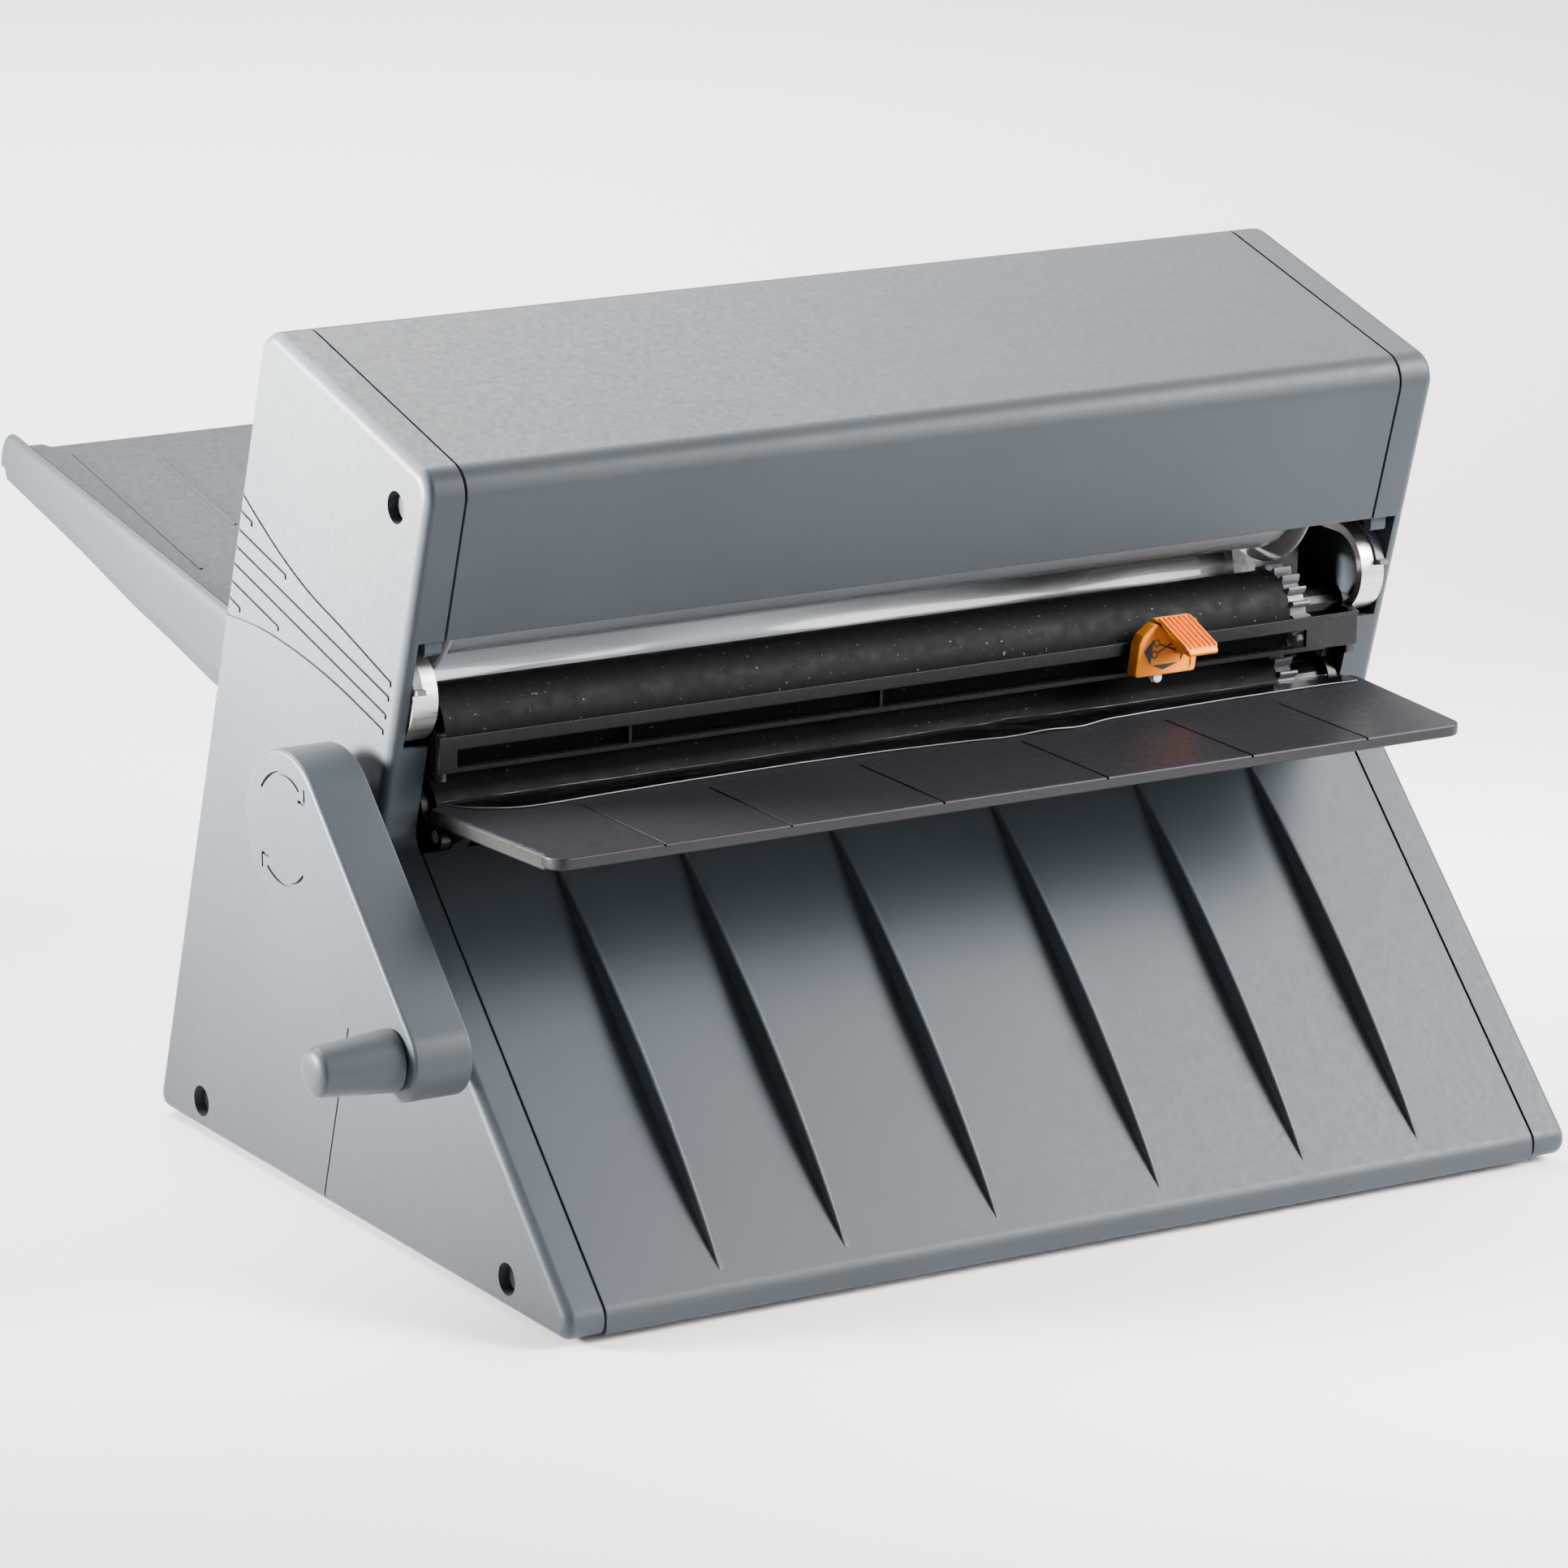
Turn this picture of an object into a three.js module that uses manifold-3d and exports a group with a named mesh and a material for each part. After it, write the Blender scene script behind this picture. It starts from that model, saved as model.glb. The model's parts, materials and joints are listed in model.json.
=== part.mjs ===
// Tabletop cold roll laminator, cranked by hand: a wedge-shaped housing with two end caps, a hinged
// top cover, a pair of geared rubber nip rollers, two film supply rolls, a sliding film cutter, a
// folding feed tray at the back and a folding exit tray at the front. Millimetres, +X along the
// rollers to the right, +Y to the back, +Z up.

import * as THREE from "three";
import { mergeVertices } from "three/addons/utils/BufferGeometryUtils.js";
import Module from "manifold-3d";

const wasm = await Module();
wasm.setup();

// ---------------------------------------------------------------- driving dimensions

const GAP = 0.3; // clearance between neighbouring pieces
const LEAN = THREE.MathUtils.degToRad(15); // the housing leans forward
const TRAY_PITCH = THREE.MathUtils.degToRad(9.3); // the feed path falls towards the nip

const CAP_OUT = 190; // outer face of an end cap, from the middle of the machine
const CAP_SEAM = 176.6; // joint between end cap and centre panels
const CAP_WALL = 4.5;
const SHELL = 3; // rims and panels
const PANEL_HALF = CAP_SEAM - GAP;
const CAP_EDGE = 3; // rounding of an end cap's outer edge
const FOOT_ROUND = 5; // rounding of the housing's lowest edges

const BACK_FOOT_Y = 61.8;
const TOP_BACK = [-12.9, 278.7];
const TOP_DEPTH = 111.9;
const TOE_Y = -208;
const TOE_Z = 8;
const SLOPE_Y = -216; // the 45 degree front slope meets the ground plane here
const FOOT_PROUD = 2;

const NOTCH_LOW = 159; // front opening in the end caps' rims
const NOTCH_HIGH = 194.9;
const PANEL_TOP_Y = -92.4;

const FRAME_IN = 172; // side frames, inside the end caps
const FRAME_OUT = 175.5;
const FRAME_INSET = 6;

const NIP_LOWER = [-80.1, 134]; // y, z of the driven roller's axis
const NIP_UPPER = [-84.6, 161.6];
const RUBBER_R = 13.8;
const RUBBER_LEFT = -171.5;
const RUBBER_RIGHT = 150;
const SHAFT_R = 5;
const GEAR_TEETH = 18;
const GEAR_WIDTH = 7;

const SUPPLY_UPPER = [-71, 209];
const SUPPLY_LOWER = [-48, 96];
const FILM_R = 28;
const FILM_LEFT = -168;
const FILM_RIGHT = 152;
const CORE_R = 16;
const FLANGE_R = 33;
const FLANGE_T = 2;

const CRANK_REACH = [-71.2, -55]; // from the crank's axis to its knob, in y and z
const CRANK_BIG_R = 25;
const CRANK_SMALL_R = 13.5;
const CRANK_BACK = -198;
const CRANK_FACE = -218.5;
const KNOB_LENGTH = 29;
const KNOB_R = 10;
const KNOB_TIP_R = 7.8;

const HINGE_R = 10; // rounding of the housing's top back edge, which the cover turns about
const FEED_PIVOT = [30, 150];
const FEED_REAR_Y = 203.8;
const FEED_RAIL_IN = 171;
const FEED_RAIL_OUT = 176;

const TRAY_TOP = 139.5; // exit tray
const TRAY_T = 4;
const TRAY_FRONT_Y = -167;
const TRAY_BACK_Y = -96.6;
const TRAY_HALF_BACK = 177;
const TRAY_HALF_FRONT = 171.5;
const TRAY_PIVOT = [-99.5, 130.6];
const GROOVE_X = [30.9, 87.1, 132.6];

const RAIL_FRONT = -102; // cutter rail
const RAIL_BACK = -100.4;
const RAIL_LOW = 151;
const RAIL_HIGH = 162.6;
const SLOT_LOW = 152.6;
const SLOT_HIGH = 158.3;
const CUTTER_X = 93; // the blade's place along the rail
const FOOT_AT = [91, 150.9]; // the middle of the pressing foot, in x and z

const BAND_CENTRE = [-87, 174.5];
const BAND_R = 15;
const BAND_T = 3;

const PIN_R = 2.5;
const SCREWS = [
  [-99.5, 237.2],
  [30, 9.9],
  [-171.7, 10],
];

// ---------------------------------------------------------------- solids and outlines

// A closed three.js geometry as a manifold-3d solid.
function solidOf(geometry) {
  const bare = geometry.index ? geometry.toNonIndexed() : geometry.clone();
  bare.deleteAttribute("normal");
  bare.deleteAttribute("uv");
  const merged = mergeVertices(bare, 1e-4);
  const mesh = new wasm.Mesh({
    numProp: 3,
    vertProperties: merged.attributes.position.array,
    triVerts: new Uint32Array(merged.index.array),
  });
  return new wasm.Manifold(mesh);
}

function geometryOf(solid) {
  const mesh = solid.getMesh();
  const geometry = new THREE.BufferGeometry();
  geometry.setAttribute("position", new THREE.BufferAttribute(mesh.vertProperties, 3));
  geometry.setIndex(new THREE.BufferAttribute(mesh.triVerts, 1));
  geometry.computeVertexNormals();
  return geometry;
}

const join = (first, ...rest) => rest.reduce((sum, piece) => sum.add(piece), first);
const cut = (first, ...rest) => rest.reduce((left, piece) => left.subtract(piece), first);

// The span a..b on one side of the machine, as lowest and highest x.
const span = (side, a, b) => (side > 0 ? [a, b] : [-b, -a]);

// Rounds one corner: the points of the arc between the two edges that meet there.
function arcAt(before, [u, v, r = 0], after, steps = 4) {
  const corner = new THREE.Vector2(u, v);
  if (r === 0) return [corner];
  const a = new THREE.Vector2(before[0] - u, before[1] - v).normalize();
  const b = new THREE.Vector2(after[0] - u, after[1] - v).normalize();
  const half = Math.acos(a.dot(b)) / 2;
  const centre = a.clone().add(b).normalize().multiplyScalar(r / Math.sin(half)).add(corner);
  const start = a.multiplyScalar(r / Math.tan(half)).add(corner).sub(centre);
  const end = b.multiplyScalar(r / Math.tan(half)).add(corner).sub(centre);
  const turn = Math.atan2(start.cross(end), start.dot(end));
  return Array.from({ length: steps + 1 }, (_, i) =>
    start.clone().rotateAround(new THREE.Vector2(), (turn * i) / steps).add(centre),
  );
}

// Corners [u, v, radius] of a closed outline as points with rounded corners.
function roundedPoints(corners, steps) {
  const n = corners.length;
  return corners.flatMap((c, i) => arcAt(corners[(i + n - 1) % n], c, corners[(i + 1) % n], steps));
}

const rounded = (corners, steps) => new THREE.Shape(roundedPoints(corners, steps));

// The line through two points, moved to its left by a distance.
function movedLine(from, to, distance) {
  const along = new THREE.Vector2(to[0] - from[0], to[1] - from[1]).normalize();
  const point = new THREE.Vector2(from[0] - along.y * distance, from[1] + along.x * distance);
  return { point, along };
}

function crossing(first, second) {
  const between = second.point.clone().sub(first.point);
  const t = between.cross(second.along) / first.along.cross(second.along);
  return first.along.clone().multiplyScalar(t).add(first.point);
}

// Moves a row of corners to its left, and fits each corner's radius.
function shiftedCorner(before, corner, after, distance) {
  const incoming = movedLine(before, corner, distance);
  const outgoing = movedLine(corner, after, distance);
  const convex = incoming.along.cross(outgoing.along) > 0;
  const radius = (corner[2] ?? 0) + (convex ? -distance : distance);
  const at = crossing(incoming, outgoing);
  return [at.x, at.y, corner[2] ? Math.max(radius, 0) : 0];
}

function inset(corners, distance) {
  const n = corners.length;
  return corners.map((c, i) =>
    shiftedCorner(corners[(i + n - 1) % n], c, corners[(i + 1) % n], distance),
  );
}

// A sheet of even thickness: an open row of corners and the same row moved to its left.
function sheetShape(corners, thickness, steps) {
  const last = corners.length - 1;
  const inner = corners.map((corner, i) => {
    if (i > 0 && i < last) return shiftedCorner(corners[i - 1], corner, corners[i + 1], thickness);
    const line = i === 0
      ? movedLine(corner, corners[1], thickness).point
      : movedLine(corner, [2 * corner[0] - corners[last - 1][0], 2 * corner[1] - corners[last - 1][1]],
        thickness).point;
    return [line.x, line.y];
  });
  return rounded([...corners, ...inner.reverse()], steps);
}

const X_FROM_DEPTH = new THREE.Matrix4().makeBasis(
  new THREE.Vector3(0, 1, 0),
  new THREE.Vector3(0, 0, 1),
  new THREE.Vector3(1, 0, 0),
);

// A (y, z) outline extruded along x.
function alongX(shape, x0, x1, bevel) {
  const options = { depth: x1 - x0, bevelEnabled: false, curveSegments: 16, ...bevel };
  const geometry = new THREE.ExtrudeGeometry(shape, options);
  return solidOf(geometry.applyMatrix4(X_FROM_DEPTH).translate(x0, 0, 0));
}

// An (x, y) outline extruded up from z0 to z1.
function upZ(shape, z0, z1) {
  const geometry = new THREE.ExtrudeGeometry(shape, { depth: z1 - z0, bevelEnabled: false });
  return solidOf(geometry.translate(0, 0, z0));
}

function block(x0, x1, y0, y1, z0, z1) {
  const geometry = new THREE.BoxGeometry(x1 - x0, y1 - y0, z1 - z0);
  return solidOf(geometry.translate((x0 + x1) / 2, (y0 + y1) / 2, (z0 + z1) / 2));
}

// How many flat sides stand for a circle of a radius.
const sidesFor = (radius) => 4 * Math.round(2 + Math.sqrt(radius) * 1.1);

// A round bar along x, tapered when two radii are given.
function rod([y, z], radius, x0, x1, endRadius = radius) {
  const sides = sidesFor(radius);
  const geometry = new THREE.CylinderGeometry(endRadius, radius, x1 - x0, sides);
  return solidOf(geometry.rotateZ(-Math.PI / 2).translate((x0 + x1) / 2, y, z));
}

function post([x, y], radius, z0, z1, topRadius = radius) {
  const geometry = new THREE.CylinderGeometry(topRadius, radius, z1 - z0, sidesFor(radius));
  return solidOf(geometry.rotateX(Math.PI / 2).translate(x, y, (z0 + z1) / 2));
}

function tube(centre, outer, inner, x0, x1) {
  return cut(rod(centre, outer, x0, x1), rod(centre, inner, x0 - 1, x1 + 1));
}

// ---------------------------------------------------------------- the machine and its materials

const machine = new THREE.Group();

const LOOKS = {
  housing: { color: 0x9aa5aa, roughness: 0.55, metalness: 0.0 },
  tray: { color: 0x8b939a, roughness: 0.55, metalness: 0.0 },
  dark: { color: 0x1b1b1f, roughness: 0.5, metalness: 0.0 },
  exit: { color: 0x3a3a3e, roughness: 0.45, metalness: 0.0 },
  rubber: { color: 0x17171a, roughness: 0.8, metalness: 0.0 },
  steel: { color: 0xc9c7c2, roughness: 0.3, metalness: 1.0 },
  nylon: { color: 0x94949a, roughness: 0.5, metalness: 0.0 },
  orange: { color: 0xf09a32, roughness: 0.45, metalness: 0.0 },
  white: { color: 0xd8d8d8, roughness: 0.4, metalness: 0.0 },
  film: { color: 0xb9bfc4, roughness: 0.12, metalness: 0.0 },
  clear: { color: 0xdfe5e8, roughness: 0.08, metalness: 0.0 },
  flange: { color: 0x8f9093, roughness: 0.4, metalness: 0.0 },
  core: { color: 0xa58e6c, roughness: 0.85, metalness: 0.0 },
};

function addPiece(name, solid, look) {
  const mesh = new THREE.Mesh(geometryOf(solid), new THREE.MeshStandardMaterial(LOOKS[look]));
  mesh.name = name;
  machine.add(mesh);
}

const SIDES = [
  [-1, "left"],
  [1, "right"],
];

// ---------------------------------------------------------------- housing outline

const topFront = [
  TOP_BACK[0] - TOP_DEPTH * Math.cos(LEAN),
  TOP_BACK[1] - TOP_DEPTH * Math.sin(LEAN),
];
const frontY = (z) => topFront[0] + Math.tan(LEAN) * (topFront[1] - z);
const backY = (z) => BACK_FOOT_Y - Math.tan(LEAN) * z;
const innerCornerZ = (frontY(0) - SLOPE_Y) / (1 + Math.tan(LEAN));
const innerCorner = [frontY(innerCornerZ), innerCornerZ, 8];
const backTopCorner = [backY(TOP_BACK[1]), TOP_BACK[1], HINGE_R];

const HOUSING = [
  [TOE_Y, 0, FOOT_ROUND],
  [BACK_FOOT_Y, 0, FOOT_ROUND],
  backTopCorner,
  [...topFront, 9.5],
  innerCorner,
  [TOE_Y, TOE_Z, 6],
];

// The side frames' outline: the housing's without its blunt toe.
const FRAME = inset(
  [[SLOPE_Y, 0], [BACK_FOOT_Y, 0], backTopCorner, [...topFront, 9.5], innerCorner],
  FRAME_INSET,
);

const hingeCorner = inset(HOUSING, HINGE_R)[2];
const HINGE = [hingeCorner[0], hingeCorner[1]];

// ---------------------------------------------------------------- end caps and side frames

function screwHoles(side, x0, x1, radius) {
  return SCREWS.map((at) => rod(at, radius, ...span(side, x0, x1)));
}

function capShell(side) {
  const bevel = {
    bevelEnabled: true,
    bevelThickness: CAP_EDGE,
    bevelSize: CAP_EDGE,
    bevelOffset: -CAP_EDGE,
    bevelSegments: 2,
  };
  const [x0, x1] = span(side, CAP_SEAM - 10, CAP_OUT);
  const whole = alongX(rounded(HOUSING, 5), x0 + CAP_EDGE, x1 - CAP_EDGE, bevel);
  const trimmed = cut(whole, block(...span(side, 100, CAP_SEAM), -300, 300, -10, 300));
  const cavity = alongX(rounded(inset(HOUSING, SHELL)), ...span(side, CAP_SEAM - 1, CAP_OUT - CAP_WALL));
  return cut(trimmed, cavity);
}

// Ledges that hold the legs of the pressure band, and a tab under the front rim.
function capLedges(side) {
  const [x0, x1] = span(side, CAP_SEAM + 0.4, CAP_OUT - CAP_WALL + 1);
  const bandTop = BAND_CENTRE[1] + BAND_R + GAP + 1.5;
  const bandFoot = BAND_CENTRE[1] - BAND_R - GAP;
  return join(
    block(x0, x1, -78, -48, bandTop, bandTop + 2.5),
    block(x0, x1, -78, -48, bandFoot - 2.5, bandFoot),
    block(...span(side, CAP_SEAM, CAP_SEAM + 5), -108, -104, NOTCH_HIGH - 5.5, NOTCH_HIGH + 2),
  );
}

function endCap(side) {
  const [x0, x1] = span(side, CAP_SEAM - 1, CAP_OUT - CAP_WALL);
  const notch = block(x0, x1, -130, -84, NOTCH_LOW, NOTCH_HIGH);
  const bosses = SCREWS.map((at) => rod(at, 7.7, ...span(side, CAP_SEAM + 0.3, CAP_OUT - 2)));
  const shell = join(cut(capShell(side), notch), ...bosses, capLedges(side));
  const bored = cut(
    shell,
    ...screwHoles(side, CAP_OUT - 6, CAP_OUT + 1, 5.2),
    ...screwHoles(side, CAP_SEAM - 1, CAP_OUT, 2.3),
  );
  return side > 0 ? bored : cut(bored, rod(NIP_LOWER, 8.5, -CAP_OUT - 1, -CAP_SEAM));
}

// The room that the cover's rolled back edge needs as it opens.
function coverSweep(x0, x1) {
  const [y, z] = HINGE;
  const ring = tube(HINGE, HINGE_R + 0.7, HINGE_R - SHELL - 0.5, x0, x1);
  return ring.intersect(block(x0, x1, y - 0.2, y + 20, z - 20, z + 20));
}

function sideFrame(side) {
  const [x0, x1] = span(side, FRAME_IN, FRAME_OUT);
  const plate = alongX(rounded(FRAME), x0, x1);
  const railLug = block(x0, x1, RAIL_BACK + GAP, -84, 148, 176);
  const trayEar = join(block(x0, x1, TRAY_PIVOT[0], -80, 126.8, 135.2), rod(TRAY_PIVOT, 4.2, x0, x1));
  const rings = [NIP_LOWER, NIP_UPPER].map((at) => rod(at, 11.5, x0, x1));
  const holes = [
    rod(NIP_LOWER, 8.3, x0 - 1, x1 + 1),
    rod(NIP_UPPER, 8.3, x0 - 1, x1 + 1),
    rod(SUPPLY_UPPER, SHAFT_R + GAP, x0 - 1, x1 + 1),
    rod(SUPPLY_LOWER, SHAFT_R + GAP, x0 - 1, x1 + 1),
    rod(HINGE, PIN_R + GAP, x0 - 1, x1 + 1),
    rod(TRAY_PIVOT, PIN_R - 0.2, x0 - 1, x1 + 1),
    block(x0 - 1, x1 + 1, 5, 60, 132, 190),
    block(x0 - 1, x1 + 1, -300, 300, -1, 6),
    block(x0 - 1, x1 + 1, -300, -196, 0, 40),
    coverSweep(x0 - 1, x1 + 1),
    ...screwHoles(side, FRAME_IN - 1, FRAME_OUT + 1, 2.3),
  ];
  return cut(join(plate, railLug, trayEar, ...rings), ...holes);
}

// ---------------------------------------------------------------- panels and base

// A crescent fin on the front slope, highest half way down.
function slopeFin(x) {
  const top = [-98, -98 - SLOPE_Y];
  const tip = [-203, -203 - SLOPE_Y];
  const chord = Math.hypot(tip[0] - top[0], tip[1] - top[1]);
  const rise = 6.5;
  const radius = (chord * chord) / (8 * rise) + rise / 2;
  const middle = [(top[0] + tip[0]) / 2, (top[1] + tip[1]) / 2];
  const away = (radius - rise) / Math.SQRT2;
  const crest = rod([middle[0] + away, middle[1] - away], radius, x - 1, x + 1);
  const strip = rounded([
    [tip[0], tip[1] - 1.5],
    [tip[0] - 10, tip[1] + 12],
    [top[0] - 4, top[1] + 12],
    [top[0], top[1] - 1.5],
  ]);
  return crest.intersect(alongX(strip, x - 1.5, x + 1.5));
}

function frontPanel() {
  const run = [
    [PANEL_TOP_Y, PANEL_TOP_Y - SLOPE_Y],
    [TOE_Y, TOE_Z, 6],
    [TOE_Y, 0.2, 2.5],
    [TOE_Y + 22, 0.2],
  ];
  const sheet = alongX(sheetShape(run, SHELL), -PANEL_HALF, PANEL_HALF);
  const lip = block(-PANEL_HALF + 6, PANEL_HALF - 6, PANEL_TOP_Y - 3.5, PANEL_TOP_Y + 9, 115.5, 118);
  const fins = [-1, 1].flatMap((side) => GROOVE_X.map((x) => slopeFin(side * x)));
  return join(sheet, lip, ...fins);
}

function feedEar(side) {
  const [y, z] = FEED_PIVOT;
  const outline = rounded([
    [backY(146) - 1, 133],
    [y + 4, 141, 3],
    [y + 6.5, z + 6.5, 6],
    [y - 6.5, z + 6.5, 6],
    [backY(146) - 1, 144],
  ]);
  return alongX(outline, ...span(side, 157.5, 163.5));
}

function rearLowerPanel() {
  const run = [
    [BACK_FOOT_Y - 22, 0.2],
    [BACK_FOOT_Y, 0.2, 4],
    [backY(138), 138],
  ];
  const sheet = alongX(sheetShape(run, SHELL), -PANEL_HALF, PANEL_HALF);
  const web = SIDES.map(([side]) => feedEar(side));
  const holes = SIDES.map(([side]) => rod(FEED_PIVOT, PIN_R + 0.1, ...span(side, 150, 170)));
  return cut(join(sheet, ...web), ...holes);
}

function rearUpperPanel() {
  const run = [
    [backY(192), 192],
    [backY(270), 270],
  ];
  const sheet = alongX(sheetShape(run, SHELL), -PANEL_HALF, PANEL_HALF);
  return cut(sheet, rod(HINGE, HINGE_R + 0.5, -CAP_OUT, CAP_OUT));
}

function basePlate() {
  const holes = footPlaces().map((at) => post(at, 3.2, 0, 10));
  return cut(block(-171.5, 171.5, -196, 54, 3.5, 5.7), ...holes);
}

function footPlaces() {
  return [-165, 28].flatMap((y) => [-150, 150].map((x) => [x, y]));
}

function foot(at) {
  return join(post(at, 9.5, -FOOT_PROUD, 3.2, 10.5), post(at, 2.9, 3, 7));
}

// ---------------------------------------------------------------- top cover

function topCover() {
  const run = [
    [frontY(NOTCH_HIGH), NOTCH_HIGH],
    [...topFront, 9.5],
    [TOP_BACK[0] - 12 * Math.cos(LEAN), TOP_BACK[1] - 12 * Math.sin(LEAN)],
  ].reverse();
  const sheet = alongX(sheetShape(run, SHELL), -PANEL_HALF, PANEL_HALF);
  const roll = cut(
    rod(HINGE, HINGE_R, -PANEL_HALF, PANEL_HALF),
    rod(HINGE, HINGE_R - SHELL, -CAP_OUT, CAP_OUT),
    underRoll(),
  );
  const edge = frontY(NOTCH_HIGH);
  const lip = block(-PANEL_HALF, PANEL_HALF, edge + 1, edge + 4.4, NOTCH_HIGH, NOTCH_HIGH + 2.2);
  const ears = SIDES.map(([side]) => coverEar(side));
  const bores = SIDES.map(([side]) => rod(HINGE, PIN_R + GAP, ...span(side, 150, 180)));
  return cut(join(sheet, roll, lip, ...ears), ...bores);
}

// What the rolled back edge of the cover leaves out: all that lies ahead of the hinge axis and
// below the sheet, and all that lies under the axis's level.
function underRoll() {
  const [y, z] = HINGE;
  const reach = HINGE_R * 2;
  const behind = [y + reach * Math.cos(LEAN), z + reach * Math.sin(LEAN)];
  const above = [y - reach * Math.sin(LEAN), z + reach * Math.cos(LEAN)];
  const corners = [HINGE, above, [y - 40, z + 30], [y - 40, z - 40], [y + 40, z - 40], behind];
  return alongX(rounded(corners), -CAP_OUT, CAP_OUT);
}

function coverEar(side) {
  const [y, z] = HINGE;
  return join(
    rod(HINGE, HINGE_R - SHELL + 0.5, ...span(side, 162, 168)),
    alongX(
      rounded([
        [y - 6, z - 2],
        [y, z],
        [y, z + 6],
        [y - 30, z - 0.5],
        [y - 30, z - 2],
      ].reverse()),
      ...span(side, 162, 168),
    ),
  );
}

function hingePin(side) {
  return join(
    rod(HINGE, PIN_R, ...span(side, 160, FRAME_OUT + 0.4)),
    rod(HINGE, PIN_R + 1.5, ...span(side, 158.5, 161)),
  );
}

// ---------------------------------------------------------------- feed path and trays

const feedZ = (y) => 171.1 + Math.tan(TRAY_PITCH) * (y - 50);

function feedGuide() {
  const run = [
    [-62, feedZ(-62) - 2.5],
    [9.5, feedZ(9.5) - 2.5],
  ];
  const sheet = alongX(sheetShape(run, 2.5), -FRAME_IN + 0.5, FRAME_IN - 0.5);
  const stiffener = block(-FRAME_IN + 0.5, FRAME_IN - 0.5, -20, -17.5, feedZ(-20) - 14, feedZ(-20) - 1);
  return join(sheet, stiffener);
}

function feedRail(side) {
  const outline = rounded([
    [24, 144.5, 6],
    [51.2, 144.2],
    [107.2, 157.4],
    [FEED_REAR_Y - 0.1, 181.1, 1.5],
    [FEED_REAR_Y, feedZ(FEED_REAR_Y) - 7, 3],
    [FEED_REAR_Y - 6, feedZ(FEED_REAR_Y - 6) + 2, 4],
    [36, feedZ(36) + 2, 6],
    [24, feedZ(24) - 5, 4],
  ]);
  return alongX(outline, ...span(side, FEED_RAIL_IN, FEED_RAIL_OUT));
}

function feedTray() {
  const [front, rear] = [26, FEED_REAR_Y - 12];
  const run = [
    [front, feedZ(front) - 2.5],
    [rear, feedZ(rear) - 2.5],
  ];
  const sheet = alongX(sheetShape(run, 2.5), -FEED_RAIL_IN - 1, FEED_RAIL_IN + 1);
  const [lipLow, lipHigh] = [feedZ(rear) - 9, feedZ(rear) - 1];
  const lip = block(-FEED_RAIL_IN - 1, FEED_RAIL_IN + 1, rear - 2.3, rear + 0.7, lipLow, lipHigh);
  const bosses = SIDES.map(([side]) => rod(FEED_PIVOT, 6.5, ...span(side, 164, FEED_RAIL_OUT)));
  const bores = SIDES.map(([side]) => rod(FEED_PIVOT, PIN_R + GAP, ...span(side, 150, 180)));
  const stems = SIDES.map(([side]) => block(...span(side, 166, 173), 27, 33, 150, feedZ(27) - 1));
  const rails = SIDES.map(([side]) => feedRail(side));
  return cut(join(sheet, lip, ...rails, ...bosses, ...stems), ...bores);
}

function trayPin(side) {
  return join(
    rod(FEED_PIVOT, PIN_R, ...span(side, 156.5, 175)),
    rod(FEED_PIVOT, PIN_R + 1.5, ...span(side, 154.8, 157.2)),
  );
}

function exitTrayOutline() {
  const right = [
    [170.9, TRAY_BACK_Y, 0],
    [TRAY_HALF_BACK, TRAY_BACK_Y - 1.5, 2],
    [TRAY_HALF_BACK, -104, 3],
    [TRAY_HALF_FRONT, TRAY_FRONT_Y, 6],
  ];
  const left = right.map(([x, y, r]) => [-x, y, r]).reverse();
  return rounded([...right, ...left].reverse());
}

function exitTray() {
  const plate = upZ(exitTrayOutline(), TRAY_TOP - TRAY_T, TRAY_TOP);
  const grooves = [-1, 1].flatMap((side) =>
    GROOVE_X.map((x) =>
      block(side * x - 0.5, side * x + 0.5, TRAY_FRONT_Y - 1, -117, TRAY_TOP - 0.8, TRAY_TOP + 1),
    ),
  );
  const arms = SIDES.map(([side]) =>
    join(
      rod(TRAY_PIVOT, 4.6, ...span(side, 165.5, FRAME_IN - 0.5)),
      alongX(armShape(), ...span(side, 165.5, FRAME_IN - 0.5)),
    ),
  );
  const bores = SIDES.map(([side]) => rod(TRAY_PIVOT, PIN_R + GAP, ...span(side, 160, 171.8)));
  return cut(join(plate, ...arms), ...grooves, ...bores);
}

function armShape() {
  const [y, z] = TRAY_PIVOT;
  return rounded([
    [y - 0.6, TRAY_TOP - 1],
    [y - 14, TRAY_TOP - 1],
    [y - 13, TRAY_TOP - 6.5, 2],
    [y - 0.6, z - 4],
  ]);
}

function exitPin(side) {
  return rod(TRAY_PIVOT, PIN_R - 0.5, ...span(side, 166, FRAME_OUT));
}

// A clear strip along the left edge of the exit tray, which keeps the film on the tray.
function edgeGuide() {
  const lean = (TRAY_HALF_BACK - TRAY_HALF_FRONT) / (-104 - TRAY_FRONT_Y);
  const edge = (y) => -TRAY_HALF_FRONT - lean * (y - TRAY_FRONT_Y) - GAP;
  const [front, back] = [TRAY_FRONT_Y + 7, -108];
  const corners = [
    [edge(front), front],
    [edge(back), back],
    [edge(back) - 1.8, back],
    [edge(front) - 1.8, front],
  ];
  return upZ(rounded(corners), TRAY_TOP - TRAY_T - 0.4, TRAY_TOP + 0.8);
}

// The free end of the film, lying on the exit tray.
function filmWeb() {
  return block(-169.5, 172, -113.5, TRAY_BACK_Y + 1, TRAY_TOP + 0.3, TRAY_TOP + 0.8);
}

// ---------------------------------------------------------------- cutter

const DIVIDER_PITCH = 93.6;
const DIVIDER_FIRST = -105.6;

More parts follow.
